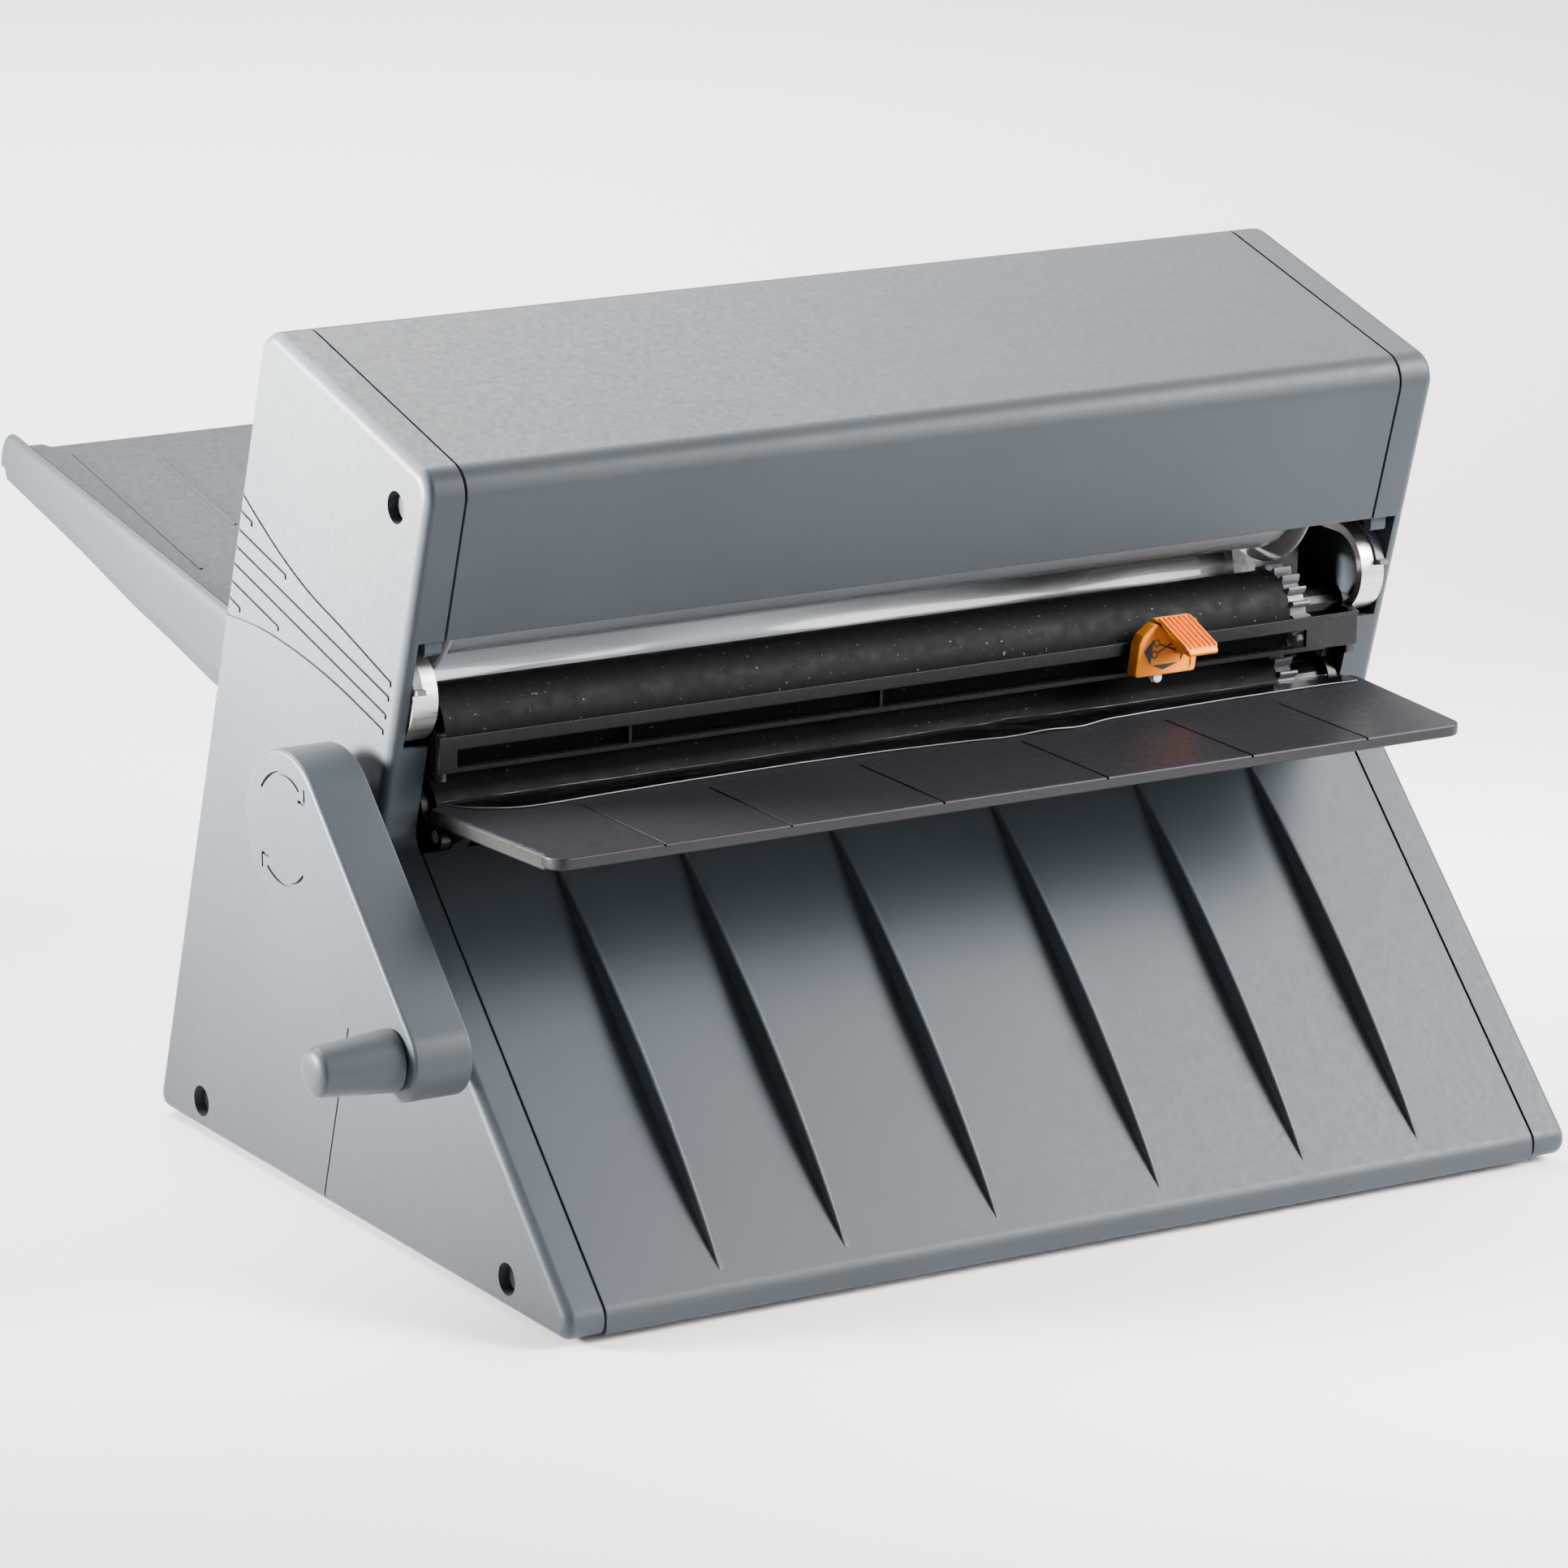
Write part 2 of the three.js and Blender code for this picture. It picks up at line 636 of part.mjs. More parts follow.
function cutterRail() {
  const plate = block(-FRAME_OUT, FRAME_OUT, RAIL_FRONT, RAIL_BACK, RAIL_LOW, RAIL_HIGH);
  const slot = block(-169, 154, RAIL_FRONT - 1, RAIL_BACK + 1, SLOT_LOW, SLOT_HIGH);
  const setBack = block(162, FRAME_OUT + 1, RAIL_FRONT - 1, RAIL_FRONT + 0.7, RAIL_LOW - 1, 161.6);
  const flange = block(-FRAME_IN + 0.4, FRAME_IN - 0.4, RAIL_BACK - 0.5, -97.4, RAIL_LOW, RAIL_LOW + 1.1);
  const dividers = [0, 1, 2].map((i) => {
    const x = DIVIDER_FIRST + i * DIVIDER_PITCH;
    return block(x - 0.9, x + 0.9, -98.9, -97.5, RAIL_LOW + 0.5, 154.4);
  });
  return join(cut(plate, slot, setBack), flange, ...dividers);
}

// A round bar along y at (x, z).
function rodY([x, z], radius, y0, y1) {
  const geometry = new THREE.CylinderGeometry(radius, radius, y1 - y0);
  return solidOf(geometry.translate(x, (y0 + y1) / 2, z));
}

function cutterBody() {
  const x = CUTTER_X;
  const outline = rounded([
    [x - 11.6, 151.8, 1],
    [x + 12.2, 151.8, 1],
    [x + 12.8, 156.6],
    [x + 11, 169],
    [x - 4, 169],
    [x - 8.6, 165.6],
    [x - 10.2, 162.8],
  ]);
  const front = new THREE.ExtrudeGeometry(outline, { depth: 5.2, bevelEnabled: false });
  const plate = solidOf(front.rotateX(Math.PI / 2).translate(0, RAIL_FRONT - 0.4, 0));
  const neck = block(x - 6, x + 8, RAIL_FRONT - 1, -99.3, SLOT_LOW + 0.4, SLOT_HIGH - 0.4);
  const lip = block(x - 6, x + 8, RAIL_BACK + 0.3, -99.2, SLOT_LOW + 0.4, SLOT_HIGH + 1.3);
  const bladeSlot = block(x - 4.2, x + 0.2, -104.1, -103.1, 140, 160);
  return cut(join(plate, neck, lip), bladeSlot, rodY(FOOT_AT, 2, -107.2, -105));
}

// The ribbed thumb grip: a plate that slopes down and forward from the top of the slider.
function cutterGrip() {
  const section = rounded([
    [-103, 169.1],
    [-103, 170.6],
    [-105.5, 170.6],
    [-122.8, 163.6],
    [-123.6, 162.2],
    [-122.6, 161.2],
    [-107.9, 167.2],
    [-107.9, 169.1],
  ]);
  const web = rounded([
    [-107.7, 168],
    [-119, 163.4],
    [-117, 161.2],
    [-107.7, 158.4],
  ]);
  const plate = alongX(section, CUTTER_X - 2.6, CUTTER_X + 11.6);
  const ribs = Array.from({ length: 7 }, (_, i) => {
    const x = CUTTER_X - 1.7 + i * 1.95;
    return alongX(ribShape(), x, x + 0.95);
  });
  return join(plate, alongX(web, CUTTER_X + 4, CUTTER_X + 10), ...ribs);
}

function ribShape() {
  const [top, low] = [170.9, 164.2];
  return rounded([
    [-104, top - 0.5],
    [-104, top],
    [-105.5, top],
    [-122, low],
    [-122, low - 0.4],
  ]);
}

function cutterBlade() {
  const x = CUTTER_X;
  const outline = rounded([
    [x - 3.9, 159],
    [x - 3.9, 151],
    [x - 2, 148.6],
    [x - 0.1, 151],
    [x - 0.1, 159],
  ]);
  const sheet = new THREE.ExtrudeGeometry(outline, { depth: 0.4, bevelEnabled: false });
  return solidOf(sheet.rotateX(Math.PI / 2).translate(0, -103.4, 0));
}

// The small white pressing foot under the slider.
function cutterFoot() {
  return rodY(FOOT_AT, 1.8, -106.9, -105.1);
}

// ---------------------------------------------------------------- rollers, gears and bearings

const nipDistance = Math.hypot(NIP_UPPER[0] - NIP_LOWER[0], NIP_UPPER[1] - NIP_LOWER[1]);
const nipAngle = Math.atan2(NIP_LOWER[1] - NIP_UPPER[1], NIP_LOWER[0] - NIP_UPPER[0]);

// Half of the angle that a tooth spans at a radius, for a 20 degree involute.
function toothHalfAngle(radius, pitch, base) {
  const involute = (r) => {
    const pressure = Math.acos(Math.min(1, base / r));
    return Math.tan(pressure) - pressure;
  };
  const backlash = 0.22 / pitch;
  return Math.PI / (2 * GEAR_TEETH) - backlash + involute(pitch) - involute(Math.max(radius, base));
}

function gearShape([y, z], phase) {
  const pitch = nipDistance / 2;
  const module_ = (2 * pitch) / GEAR_TEETH;
  const base = pitch * Math.cos(THREE.MathUtils.degToRad(20));
  const radii = [pitch - 1.2 * module_, base, pitch, pitch + 0.55 * module_, pitch + 0.95 * module_];
  const points = [];
  for (let tooth = 0; tooth < GEAR_TEETH; tooth += 1) {
    const middle = phase + (tooth * 2 * Math.PI) / GEAR_TEETH;
    const flank = radii.map((r) => [r, toothHalfAngle(r, pitch, base)]);
    for (const [r, half] of flank) points.push([r, middle - half]);
    for (const [r, half] of flank.reverse()) points.push([r, middle + half]);
  }
  return new THREE.Shape(
    points.map(([r, a]) => new THREE.Vector2(y + r * Math.cos(a), z + r * Math.sin(a))),
  );
}

function rollerGear(centre, phase) {
  const [x0, x1] = [RUBBER_RIGHT + 0.4, RUBBER_RIGHT + 0.4 + GEAR_WIDTH];
  return cut(alongX(gearShape(centre, phase), x0, x1), rod(centre, SHAFT_R + GAP, x0 - 1, x1 + 1));
}

function rollerShaft(centre, left) {
  return rod(centre, SHAFT_R, left, FRAME_OUT - 0.3);
}

function rollerRubber(centre) {
  return tube(centre, RUBBER_R, SHAFT_R + GAP, RUBBER_LEFT, RUBBER_RIGHT);
}

function bearing(centre, side) {
  const inner = side > 0 ? RUBBER_RIGHT + GEAR_WIDTH + 1 : FRAME_IN - 0.1;
  const [x0, x1] = span(side, inner, FRAME_OUT + 0.3);
  return cut(rod(centre, 8, x0, x1), rod(centre, SHAFT_R + 0.16, x0 - 1, x1 + 1));
}

// ---------------------------------------------------------------- pressure bands

// A U of flat steel that lies on its side, with its arch to the front.
function pressureBand(side) {
  const [y, z] = BAND_CENTRE;
  const [x0, x1] = span(side, CAP_SEAM - 0.6, CAP_OUT - CAP_WALL - 0.5);
  const outer = join(rod(BAND_CENTRE, BAND_R, x0, x1), block(x0, x1, y, -50, z - BAND_R, z + BAND_R));
  const inner = BAND_R - BAND_T;
  const hollow = join(
    rod(BAND_CENTRE, inner, x0 - 1, x1 + 1),
    block(x0 - 1, x1 + 1, y, -49, z - inner, z + inner),
  );
  const step = block(...span(side, 181.2, CAP_OUT), y - 30, -49, z + 3, z + 30);
  return cut(outer, hollow, step);
}

// A thin curved clip that holds the band's upper edge against the end cap.
function bandClip(side) {
  const [y, z] = BAND_CENTRE;
  const [x0, x1] = span(side, 181.6, 184.8);
  const outer = BAND_R + 1;
  const inner = BAND_R - 0.4;
  const ring = tube(BAND_CENTRE, outer, inner, x0, x1);
  const arc = cut(
    ring,
    block(x0 - 1, x1 + 1, y - 30, y + 30, z - 30, z + 3.4),
    block(x0 - 1, x1 + 1, y, y + 30, z, z + 30),
  );
  const leg = block(x0, x1, y - 0.1, -60, z + inner + 0.1, z + outer);
  const hook = block(x0, x1, y - outer - 1.4, y - inner + 0.3, z + 3.4, z + 5);
  return join(arc, leg, hook);
}

// ---------------------------------------------------------------- crank

const knobCentre = [NIP_LOWER[0] + CRANK_REACH[0], NIP_LOWER[1] + CRANK_REACH[1]];

function crankOutline() {
  const [dy, dz] = CRANK_REACH;
  const length = Math.hypot(dy, dz);
  const heading = Math.atan2(dz, dy);
  const lean = Math.acos((CRANK_BIG_R - CRANK_SMALL_R) / length);
  const shape = new THREE.Shape();
  shape.absarc(...NIP_LOWER, CRANK_BIG_R, heading + lean, heading - lean + 2 * Math.PI, false);
  shape.absarc(...knobCentre, CRANK_SMALL_R, heading - lean, heading + lean, false);
  return shape;
}

function crankArm() {
  const bevel = {
    bevelEnabled: true,
    bevelThickness: 2,
    bevelSize: 2,
    bevelOffset: -2,
    bevelSegments: 2,
    curveSegments: 14,
  };
  const arm = alongX(crankOutline(), CRANK_FACE + 2, CRANK_BACK - 2, bevel);
  const boss = join(
    rod(NIP_LOWER, 10, CRANK_BACK - 4, -CAP_OUT - 1.5),
    rod(NIP_LOWER, 7.6, -CAP_OUT - 2, -180.5),
  );
  const socket = cut(
    rod(NIP_LOWER, SHAFT_R + GAP, CRANK_BACK + 0.3, -180),
    block(CRANK_BACK, -186, -100, -60, NIP_LOWER[1] + SHAFT_R - 1.2, 160),
  );
  return cut(join(arm, boss), socket, rod(knobCentre, PIN_R + 0.1, CRANK_FACE - 1, CRANK_BACK - 6));
}

function lowerShaft() {
  const flat = block(CRANK_BACK - 1, -185.8, -100, -60, NIP_LOWER[1] + SHAFT_R - 1.5, 160);
  return cut(rollerShaft(NIP_LOWER, CRANK_BACK + 0.8), flat);
}

function crankKnob() {
  const base = CRANK_FACE - 0.4;
  const tip = base - KNOB_LENGTH;
  const profile = [
    new THREE.Vector2(0, -KNOB_LENGTH),
    new THREE.Vector2(KNOB_TIP_R * 0.62, -KNOB_LENGTH + 0.5),
    new THREE.Vector2(KNOB_TIP_R - 0.6, -KNOB_LENGTH + 1.9),
    new THREE.Vector2(KNOB_TIP_R, -KNOB_LENGTH + 3.4),
    new THREE.Vector2(KNOB_R, -1),
    new THREE.Vector2(KNOB_R - 0.8, 0),
    new THREE.Vector2(0, 0),
  ];
  const lathe = new THREE.LatheGeometry(profile, 28).rotateZ(-Math.PI / 2);
  const knob = solidOf(lathe.translate(base, ...knobCentre));
  return cut(knob, rod(knobCentre, PIN_R + GAP, tip + 7, base + 1));
}

function knobPin() {
  const base = CRANK_FACE - 0.4;
  return rod(knobCentre, PIN_R, base - KNOB_LENGTH + 8, CRANK_BACK - 7);
}

// ---------------------------------------------------------------- film supply rolls

function addSupply(prefix, centre) {
  const [left, right] = [FILM_LEFT - 1, FILM_RIGHT + 1];
  addPiece(`${prefix}_supply_core`, tube(centre, CORE_R, CORE_R - 3, left, right), "core");
  addPiece(`${prefix}_supply_film`, tube(centre, FILM_R, CORE_R + GAP, FILM_LEFT, FILM_RIGHT), "film");
  for (const [side, word] of SIDES) {
    const flangeX = (side < 0 ? -left : right) + 0.4;
    const disc = rod(centre, FLANGE_R, ...span(side, flangeX, flangeX + FLANGE_T));
    const plug = rod(centre, CORE_R - 3 - GAP, ...span(side, flangeX - 14, flangeX + 0.5));
    const stub = rod(centre, SHAFT_R - 0.1, ...span(side, flangeX + 1, FRAME_OUT - 0.3));
    addPiece(`${prefix}_supply_flange_${word}`, join(disc, plug, stub), "flange");
  }
}

// ---------------------------------------------------------------- fasteners

function capScrew(side, at) {
  const head = CAP_OUT - 6 + GAP;
  return join(
    rod(at, 4.3, ...span(side, head, head + 2.6)),
    rod(at, 1.9, ...span(side, FRAME_IN - 4, head + 1)),
  );
}

// ---------------------------------------------------------------- assembly

addPiece("base_plate", basePlate(), "steel");
footPlaces().forEach((at, i) => {
  const word = ["front_left", "front_right", "rear_left", "rear_right"][i];
  addPiece(`foot_${word}`, foot(at), "rubber");
});

for (const [side, word] of SIDES) {
  addPiece(`side_frame_${word}`, sideFrame(side), "dark");
  addPiece(`end_cap_${word}`, endCap(side), "housing");
  addPiece(`cover_hinge_pin_${word}`, hingePin(side), "steel");
  addPiece(`feed_tray_pin_${word}`, trayPin(side), "steel");
  addPiece(`exit_tray_pin_${word}`, exitPin(side), "steel");
  addPiece(`upper_bearing_${word}`, bearing(NIP_UPPER, side), "dark");
  addPiece(`lower_bearing_${word}`, bearing(NIP_LOWER, side), "dark");
  addPiece(`pressure_band_${word}`, pressureBand(side), "steel");
  addPiece(`band_clip_${word}`, bandClip(side), "nylon");
  SCREWS.forEach((at, i) => {
    const place = ["top", "rear", "front"][i];
    addPiece(`cap_screw_${word}_${place}`, capScrew(side, at), "steel");
  });
}

addPiece("front_panel", frontPanel(), "housing");
addPiece("rear_lower_panel", rearLowerPanel(), "housing");
addPiece("rear_upper_panel", rearUpperPanel(), "housing");
addPiece("top_cover", topCover(), "housing");
addPiece("feed_guide", feedGuide(), "housing");
addPiece("feed_tray", feedTray(), "tray");
addPiece("exit_tray", exitTray(), "exit");
addPiece("tray_edge_guide", edgeGuide(), "clear");
addPiece("film_web", filmWeb(), "clear");

addPiece("cutter_rail", cutterRail(), "dark");
addPiece("cutter_body", cutterBody(), "orange");
addPiece("cutter_grip", cutterGrip(), "orange");
addPiece("cutter_blade", cutterBlade(), "steel");
addPiece("cutter_foot", cutterFoot(), "white");

addPiece("upper_roller_shaft", rollerShaft(NIP_UPPER, -FRAME_OUT + 0.3), "steel");
addPiece("upper_roller_rubber", rollerRubber(NIP_UPPER), "rubber");
addPiece("upper_roller_gear", rollerGear(NIP_UPPER, nipAngle), "nylon");
addPiece("lower_roller_shaft", lowerShaft(), "steel");
addPiece("lower_roller_rubber", rollerRubber(NIP_LOWER), "rubber");
addPiece("lower_roller_gear", rollerGear(NIP_LOWER, nipAngle + Math.PI + Math.PI / GEAR_TEETH), "nylon");

addPiece("crank_arm", crankArm(), "housing");
addPiece("crank_knob", crankKnob(), "housing");
addPiece("crank_knob_pin", knobPin(), "steel");

addSupply("upper", SUPPLY_UPPER);
addSupply("lower", SUPPLY_LOWER);

// The part's origin is on the ground, under the middle of the whole object.
const knobEndX = CRANK_FACE - 0.4 - KNOB_LENGTH;
machine.position.set(-(knobEndX + CAP_OUT) / 2, -(TOE_Y + FEED_REAR_Y) / 2, FOOT_PROUD);

export default machine;
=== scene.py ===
"""Cold roll laminator, cranked by hand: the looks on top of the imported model.

Lengths are millimetres in the machine's own frame: x = 0 in the middle between the end caps, the end
caps' bottoms at z = 0. P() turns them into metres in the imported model's frame.
"""

import json
import math

import bmesh
import bpy
from mathutils import Matrix, Vector, noise


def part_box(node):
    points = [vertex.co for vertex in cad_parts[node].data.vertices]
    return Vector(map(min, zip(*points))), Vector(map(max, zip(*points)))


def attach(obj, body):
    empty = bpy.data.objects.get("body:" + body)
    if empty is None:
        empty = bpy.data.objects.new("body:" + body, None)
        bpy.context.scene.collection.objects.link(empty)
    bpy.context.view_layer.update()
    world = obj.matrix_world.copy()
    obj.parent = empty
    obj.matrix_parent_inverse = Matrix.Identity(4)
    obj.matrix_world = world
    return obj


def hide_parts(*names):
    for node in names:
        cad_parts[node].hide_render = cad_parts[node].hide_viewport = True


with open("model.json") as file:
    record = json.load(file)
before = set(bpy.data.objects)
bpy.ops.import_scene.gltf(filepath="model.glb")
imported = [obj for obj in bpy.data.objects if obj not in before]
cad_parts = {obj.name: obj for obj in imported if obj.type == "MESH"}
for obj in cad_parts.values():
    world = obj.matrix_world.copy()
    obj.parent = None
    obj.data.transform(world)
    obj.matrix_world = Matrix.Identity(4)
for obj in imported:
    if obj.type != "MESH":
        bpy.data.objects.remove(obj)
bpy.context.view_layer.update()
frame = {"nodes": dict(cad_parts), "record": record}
NODES = frame["nodes"]


MM = 0.001
SCENE = bpy.context.scene
TOE_Y = -208.0

cap_low, cap_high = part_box("end_cap_left")[0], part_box("end_cap_right")[1]
ORIGIN = Vector(((cap_low.x + cap_high.x) / 2, cap_low.y - TOE_Y * MM, cap_low.z))


def P(x, y, z):
    return ORIGIN + Vector((x, y, z)) * MM


# ------------------------------------------------------------------ camera


def add_camera():
    forward = Vector((0.51221, 0.81647, -0.26648)).normalized()
    level = forward.cross(Vector((0, 0, 1))).normalized()
    above = level.cross(forward)
    roll = math.radians(1.09)
    right = level * math.cos(roll) + above * math.sin(roll)
    up = above * math.cos(roll) - level * math.sin(roll)
    data = bpy.data.cameras.new("Camera")
    data.lens = 170.2
    data.sensor_width = 36.0
    data.clip_end = 100.0
    camera = bpy.data.objects.new("Camera", data)
    SCENE.collection.objects.link(camera)
    turn = Matrix((right, up, -forward)).transposed().to_4x4()
    camera.matrix_world = Matrix.Translation(Vector((-1.23147, -2.03004, 0.76381))) @ turn
    SCENE.camera = camera


add_camera()

# ------------------------------------------------------------------ materials


def new_material(name, color, roughness, metallic=0.0, alpha=1.0, specular=0.5, coat=0.0):
    material = bpy.data.materials.new(name)
    material.use_nodes = True
    shader = material.node_tree.nodes["Principled BSDF"]
    shader.inputs["Base Color"].default_value = (*color, 1.0)
    shader.inputs["Roughness"].default_value = roughness
    shader.inputs["Metallic"].default_value = metallic
    shader.inputs["Alpha"].default_value = alpha
    shader.inputs["Specular IOR Level"].default_value = specular
    shader.inputs["Coat Weight"].default_value = coat
    return material


def tools(material):
    tree = material.node_tree
    return tree.nodes, tree.links, tree.nodes["Principled BSDF"]


def noise_field(material, scale, detail=2.0, stretch=(1, 1, 1)):
    """A noise texture fixed to the object; stretch is how many times finer it is along each axis."""
    nodes, links, _ = tools(material)
    coordinates = nodes.new("ShaderNodeTexCoord")
    mapping = nodes.new("ShaderNodeMapping")
    mapping.inputs["Scale"].default_value = stretch
    texture = nodes.new("ShaderNodeTexNoise")
    texture.inputs["Scale"].default_value = scale
    texture.inputs["Detail"].default_value = detail
    links.new(coordinates.outputs["Object"], mapping.inputs["Vector"])
    links.new(mapping.outputs["Vector"], texture.inputs["Vector"])
    return texture.outputs["Fac"]


def vary_color(material, field, dark, light, low=0.35, high=0.65):
    nodes, links, shader = tools(material)
    ramp = nodes.new("ShaderNodeValToRGB")
    ramp.color_ramp.elements[0].position = low
    ramp.color_ramp.elements[1].position = high
    ramp.color_ramp.elements[0].color = (*dark, 1.0)
    ramp.color_ramp.elements[1].color = (*light, 1.0)
    links.new(field, ramp.inputs["Fac"])
    links.new(ramp.outputs["Color"], shader.inputs["Base Color"])


def vary_roughness(material, field, low, high):
    nodes, links, shader = tools(material)
    remap = nodes.new("ShaderNodeMapRange")
    remap.inputs["From Min"].default_value = 0.3
    remap.inputs["From Max"].default_value = 0.7
    remap.inputs["To Min"].default_value = low
    remap.inputs["To Max"].default_value = high
    links.new(field, remap.inputs["Value"])
    links.new(remap.outputs["Result"], shader.inputs["Roughness"])


def add_bump(material, field, strength, height):
    nodes, links, shader = tools(material)
    bump = nodes.new("ShaderNodeBump")
    bump.inputs["Strength"].default_value = strength
    bump.inputs["Distance"].default_value = height
    links.new(field, bump.inputs["Height"])
    links.new(bump.outputs["Normal"], shader.inputs["Normal"])


def shade(color, factor):
    return tuple(channel * factor for channel in color)


def moulded(name, color, roughness, grain=0.25, drift=0.05, specular=0.5):
    """Moulded plastic: fine eroded grain, slow drift of colour and gloss."""
    material = new_material(name, color, roughness, specular=specular)
    slow = noise_field(material, 14.0, 2.0)
    vary_color(material, slow, shade(color, 1 - drift), shade(color, 1 + drift))
    vary_roughness(material, noise_field(material, 420.0, 3.0), roughness - 0.05, roughness + 0.06)
    add_bump(material, noise_field(material, 1500.0, 3.0), grain, 0.00012)
    return material


def brushed(name, color, roughness, stretch):
    material = new_material(name, color, roughness, metallic=1.0)
    field = noise_field(material, 60.0, 4.0, stretch)
    vary_color(material, field, shade(color, 0.82), shade(color, 1.1))
    vary_roughness(material, field, roughness - 0.08, roughness + 0.12)
    add_bump(material, field, 0.12, 0.00005)
    return material


def clear(name, color, alpha, roughness, ripple, gloss=1.0, stretch=(1, 1, 1)):
    """Clear plastic or film; gloss scales both of its mirror layers."""
    material = new_material(name, color, roughness, alpha=alpha, specular=0.8 * gloss, coat=gloss)
    add_bump(material, noise_field(material, 60.0, 2.0, stretch), ripple, 0.0008)
    gloss_field = noise_field(material, 90.0, 2.0, stretch)
    vary_roughness(material, gloss_field, roughness * 0.6, roughness * 1.5)
    return material


def painted_light_to_shade(material, near, far, x0, x1):
    """Painted light and shade: the colour passes from near, a pale lit tone, to far, a dark shade
    tone, between two places along the machine.
    """
    nodes, links, _ = tools(material)
    coordinates = nodes.new("ShaderNodeTexCoord")
    axes = nodes.new("ShaderNodeSeparateXYZ")
    along = nodes.new("ShaderNodeMapRange")
    along.inputs["From Min"].default_value = P(x0, 0, 0).x
    along.inputs["From Max"].default_value = P(x1, 0, 0).x
    links.new(coordinates.outputs["Object"], axes.inputs["Vector"])
    links.new(axes.outputs["X"], along.inputs["Value"])
    vary_color(material, along.outputs["Result"], near, far, 0.0, 1.0)
    return material


def window_film(name, roughness):
    """Clear glossy film that mirrors what is behind it at a low angle."""
    material = new_material(name, (0.72, 0.74, 0.76), roughness, specular=0.3)
    shader = tools(material)[2]
    shader.inputs["Transmission Weight"].default_value = 1.0
    shader.inputs["IOR"].default_value = 1.5
    add_bump(material, noise_field(material, 45.0, 2.0, (0.35, 1.0, 1.0)), 0.10, 0.0008)
    return material


def rubber_speckled(name, color):
    """Ground black rubber with a few specks of dust."""
    material = new_material(name, color, 0.62, specular=0.08)
    vary_color(material, noise_field(material, 900.0, 0.0), color, (0.10, 0.10, 0.10), 0.80, 0.88)
    vary_roughness(material, noise_field(material, 240.0, 3.0), 0.54, 0.70)
    add_bump(material, noise_field(material, 2200.0, 2.0), 0.2, 0.0001)
    return material


HOUSING_COLOR = (0.032, 0.040, 0.048)
ALONG = (0.16, 1.0, 1.0)
LOOKS = {
    "housing_plastic": moulded("housing_plastic", HOUSING_COLOR, 0.44, grain=0.3, specular=0.20),
    "feed_tray_plastic": moulded("feed_tray_plastic", (0.019, 0.024, 0.029), 0.50, specular=0.12),
    "exit_tray_plastic": moulded(
        "exit_tray_plastic", (0.011, 0.011, 0.014), 0.42, grain=0.15, specular=0.20,
    ),
    "black_plastic": moulded(
        "black_plastic", (0.0035, 0.0035, 0.0045), 0.30, grain=0.10, specular=0.22,
    ),
    "rubber_foot": moulded("rubber_foot", (0.02, 0.02, 0.02), 0.75),
    "black_rubber": rubber_speckled("black_rubber", (0.003, 0.003, 0.004)),
    "bright_steel": brushed("bright_steel", (0.66, 0.64, 0.60), 0.34, (1, 30, 30)),
    "galvanised_steel": brushed("galvanised_steel", (0.45, 0.46, 0.47), 0.5, (1, 1, 1)),
    "grey_nylon": moulded("grey_nylon", (0.09, 0.093, 0.102), 0.42, grain=0.1),
    "orange_plastic": moulded(
        "orange_plastic", (0.93, 0.26, 0.004), 0.42, grain=0.12, drift=0.03, specular=0.2,
    ),
    "white_plastic": moulded("white_plastic", (0.72, 0.72, 0.72), 0.35, grain=0.05),
    "film_roll": clear("film_roll", (0.26, 0.28, 0.30), 0.94, 0.16, 0.25, stretch=ALONG),
    "smoke_plastic": moulded("smoke_plastic", (0.22, 0.22, 0.23), 0.32, grain=0.05),
    "core_board": moulded("core_board", (0.40, 0.30, 0.18), 0.85),
    # Near-black steel for the cap screws, which makes their counterbores read as dark holes.
    "near_black_steel": brushed("near_black_steel", (0.03, 0.03, 0.032), 0.45, (1, 1, 1)),
    "black_print": moulded("black_print", (0.012, 0.012, 0.012), 0.5, grain=0.05),
    # The upper film web's colour is painted: a pale left end stands in for light in the throat, and
    # it fades to near black at the right end, painted shade inside the machine.
    "web_film_painted_light_and_shade": painted_light_to_shade(
        clear("web_film_painted_light_and_shade", (0.3, 0.3, 0.3), 0.86, 0.20, 0.5, 0.8, ALONG),
        (0.62, 0.69, 0.76), (0.012, 0.012, 0.013), -40, 70,
    ),
    "crystal_edge": clear("crystal_edge", (0.05, 0.052, 0.052), 0.12, 0.12, 1.0, 0.4),
    # A pale, half-clear strand along the film's cut edge: painted highlight.
    "film_edge_highlight": clear("film_edge_highlight", (0.42, 0.44, 0.46), 0.36, 0.14, 0.3, 0.25),
    "tray_film": window_film("tray_film", 0.08),
}

# ------------------------------------------------------------------ outlines


def arc_at(before, corner, after, steps):
    """The points of one corner (u, v, radius), rounded where it has a radius."""
    at = Vector(corner[:2])
    if len(corner) < 3 or corner[2] == 0:
        return [at]
    radius = corner[2]
    a = (Vector(before[:2]) - at).normalized()
    b = (Vector(after[:2]) - at).normalized()
    half = a.angle(b) / 2
    centre = at + (a + b).normalized() * (radius / math.sin(half))
    start = at + a * (radius / math.tan(half)) - centre
    end = at + b * (radius / math.tan(half)) - centre
    turn = math.atan2(start.x * end.y - start.y * end.x, start.dot(end))
    points = []
    for i in range(steps + 1):
        c, s = math.cos(turn * i / steps), math.sin(turn * i / steps)
        points.append(centre + Vector((start.x * c - start.y * s, start.x * s + start.y * c)))
    return points


def rounded(corners, steps=8):
    """A closed outline whose corners (u, v, radius) are rounded."""
    n = len(corners)
    return [
        point
        for i, corner in enumerate(corners)
        for point in arc_at(corners[i - 1], corner, corners[(i + 1) % n], steps)
    ]


def moved_line(start, end, distance):
    """A point on the line after it moves to its left, and the line's direction."""
    along = Vector((end[0] - start[0], end[1] - start[1])).normalized()
    return Vector((start[0] - along.y * distance, start[1] + along.x * distance)), along


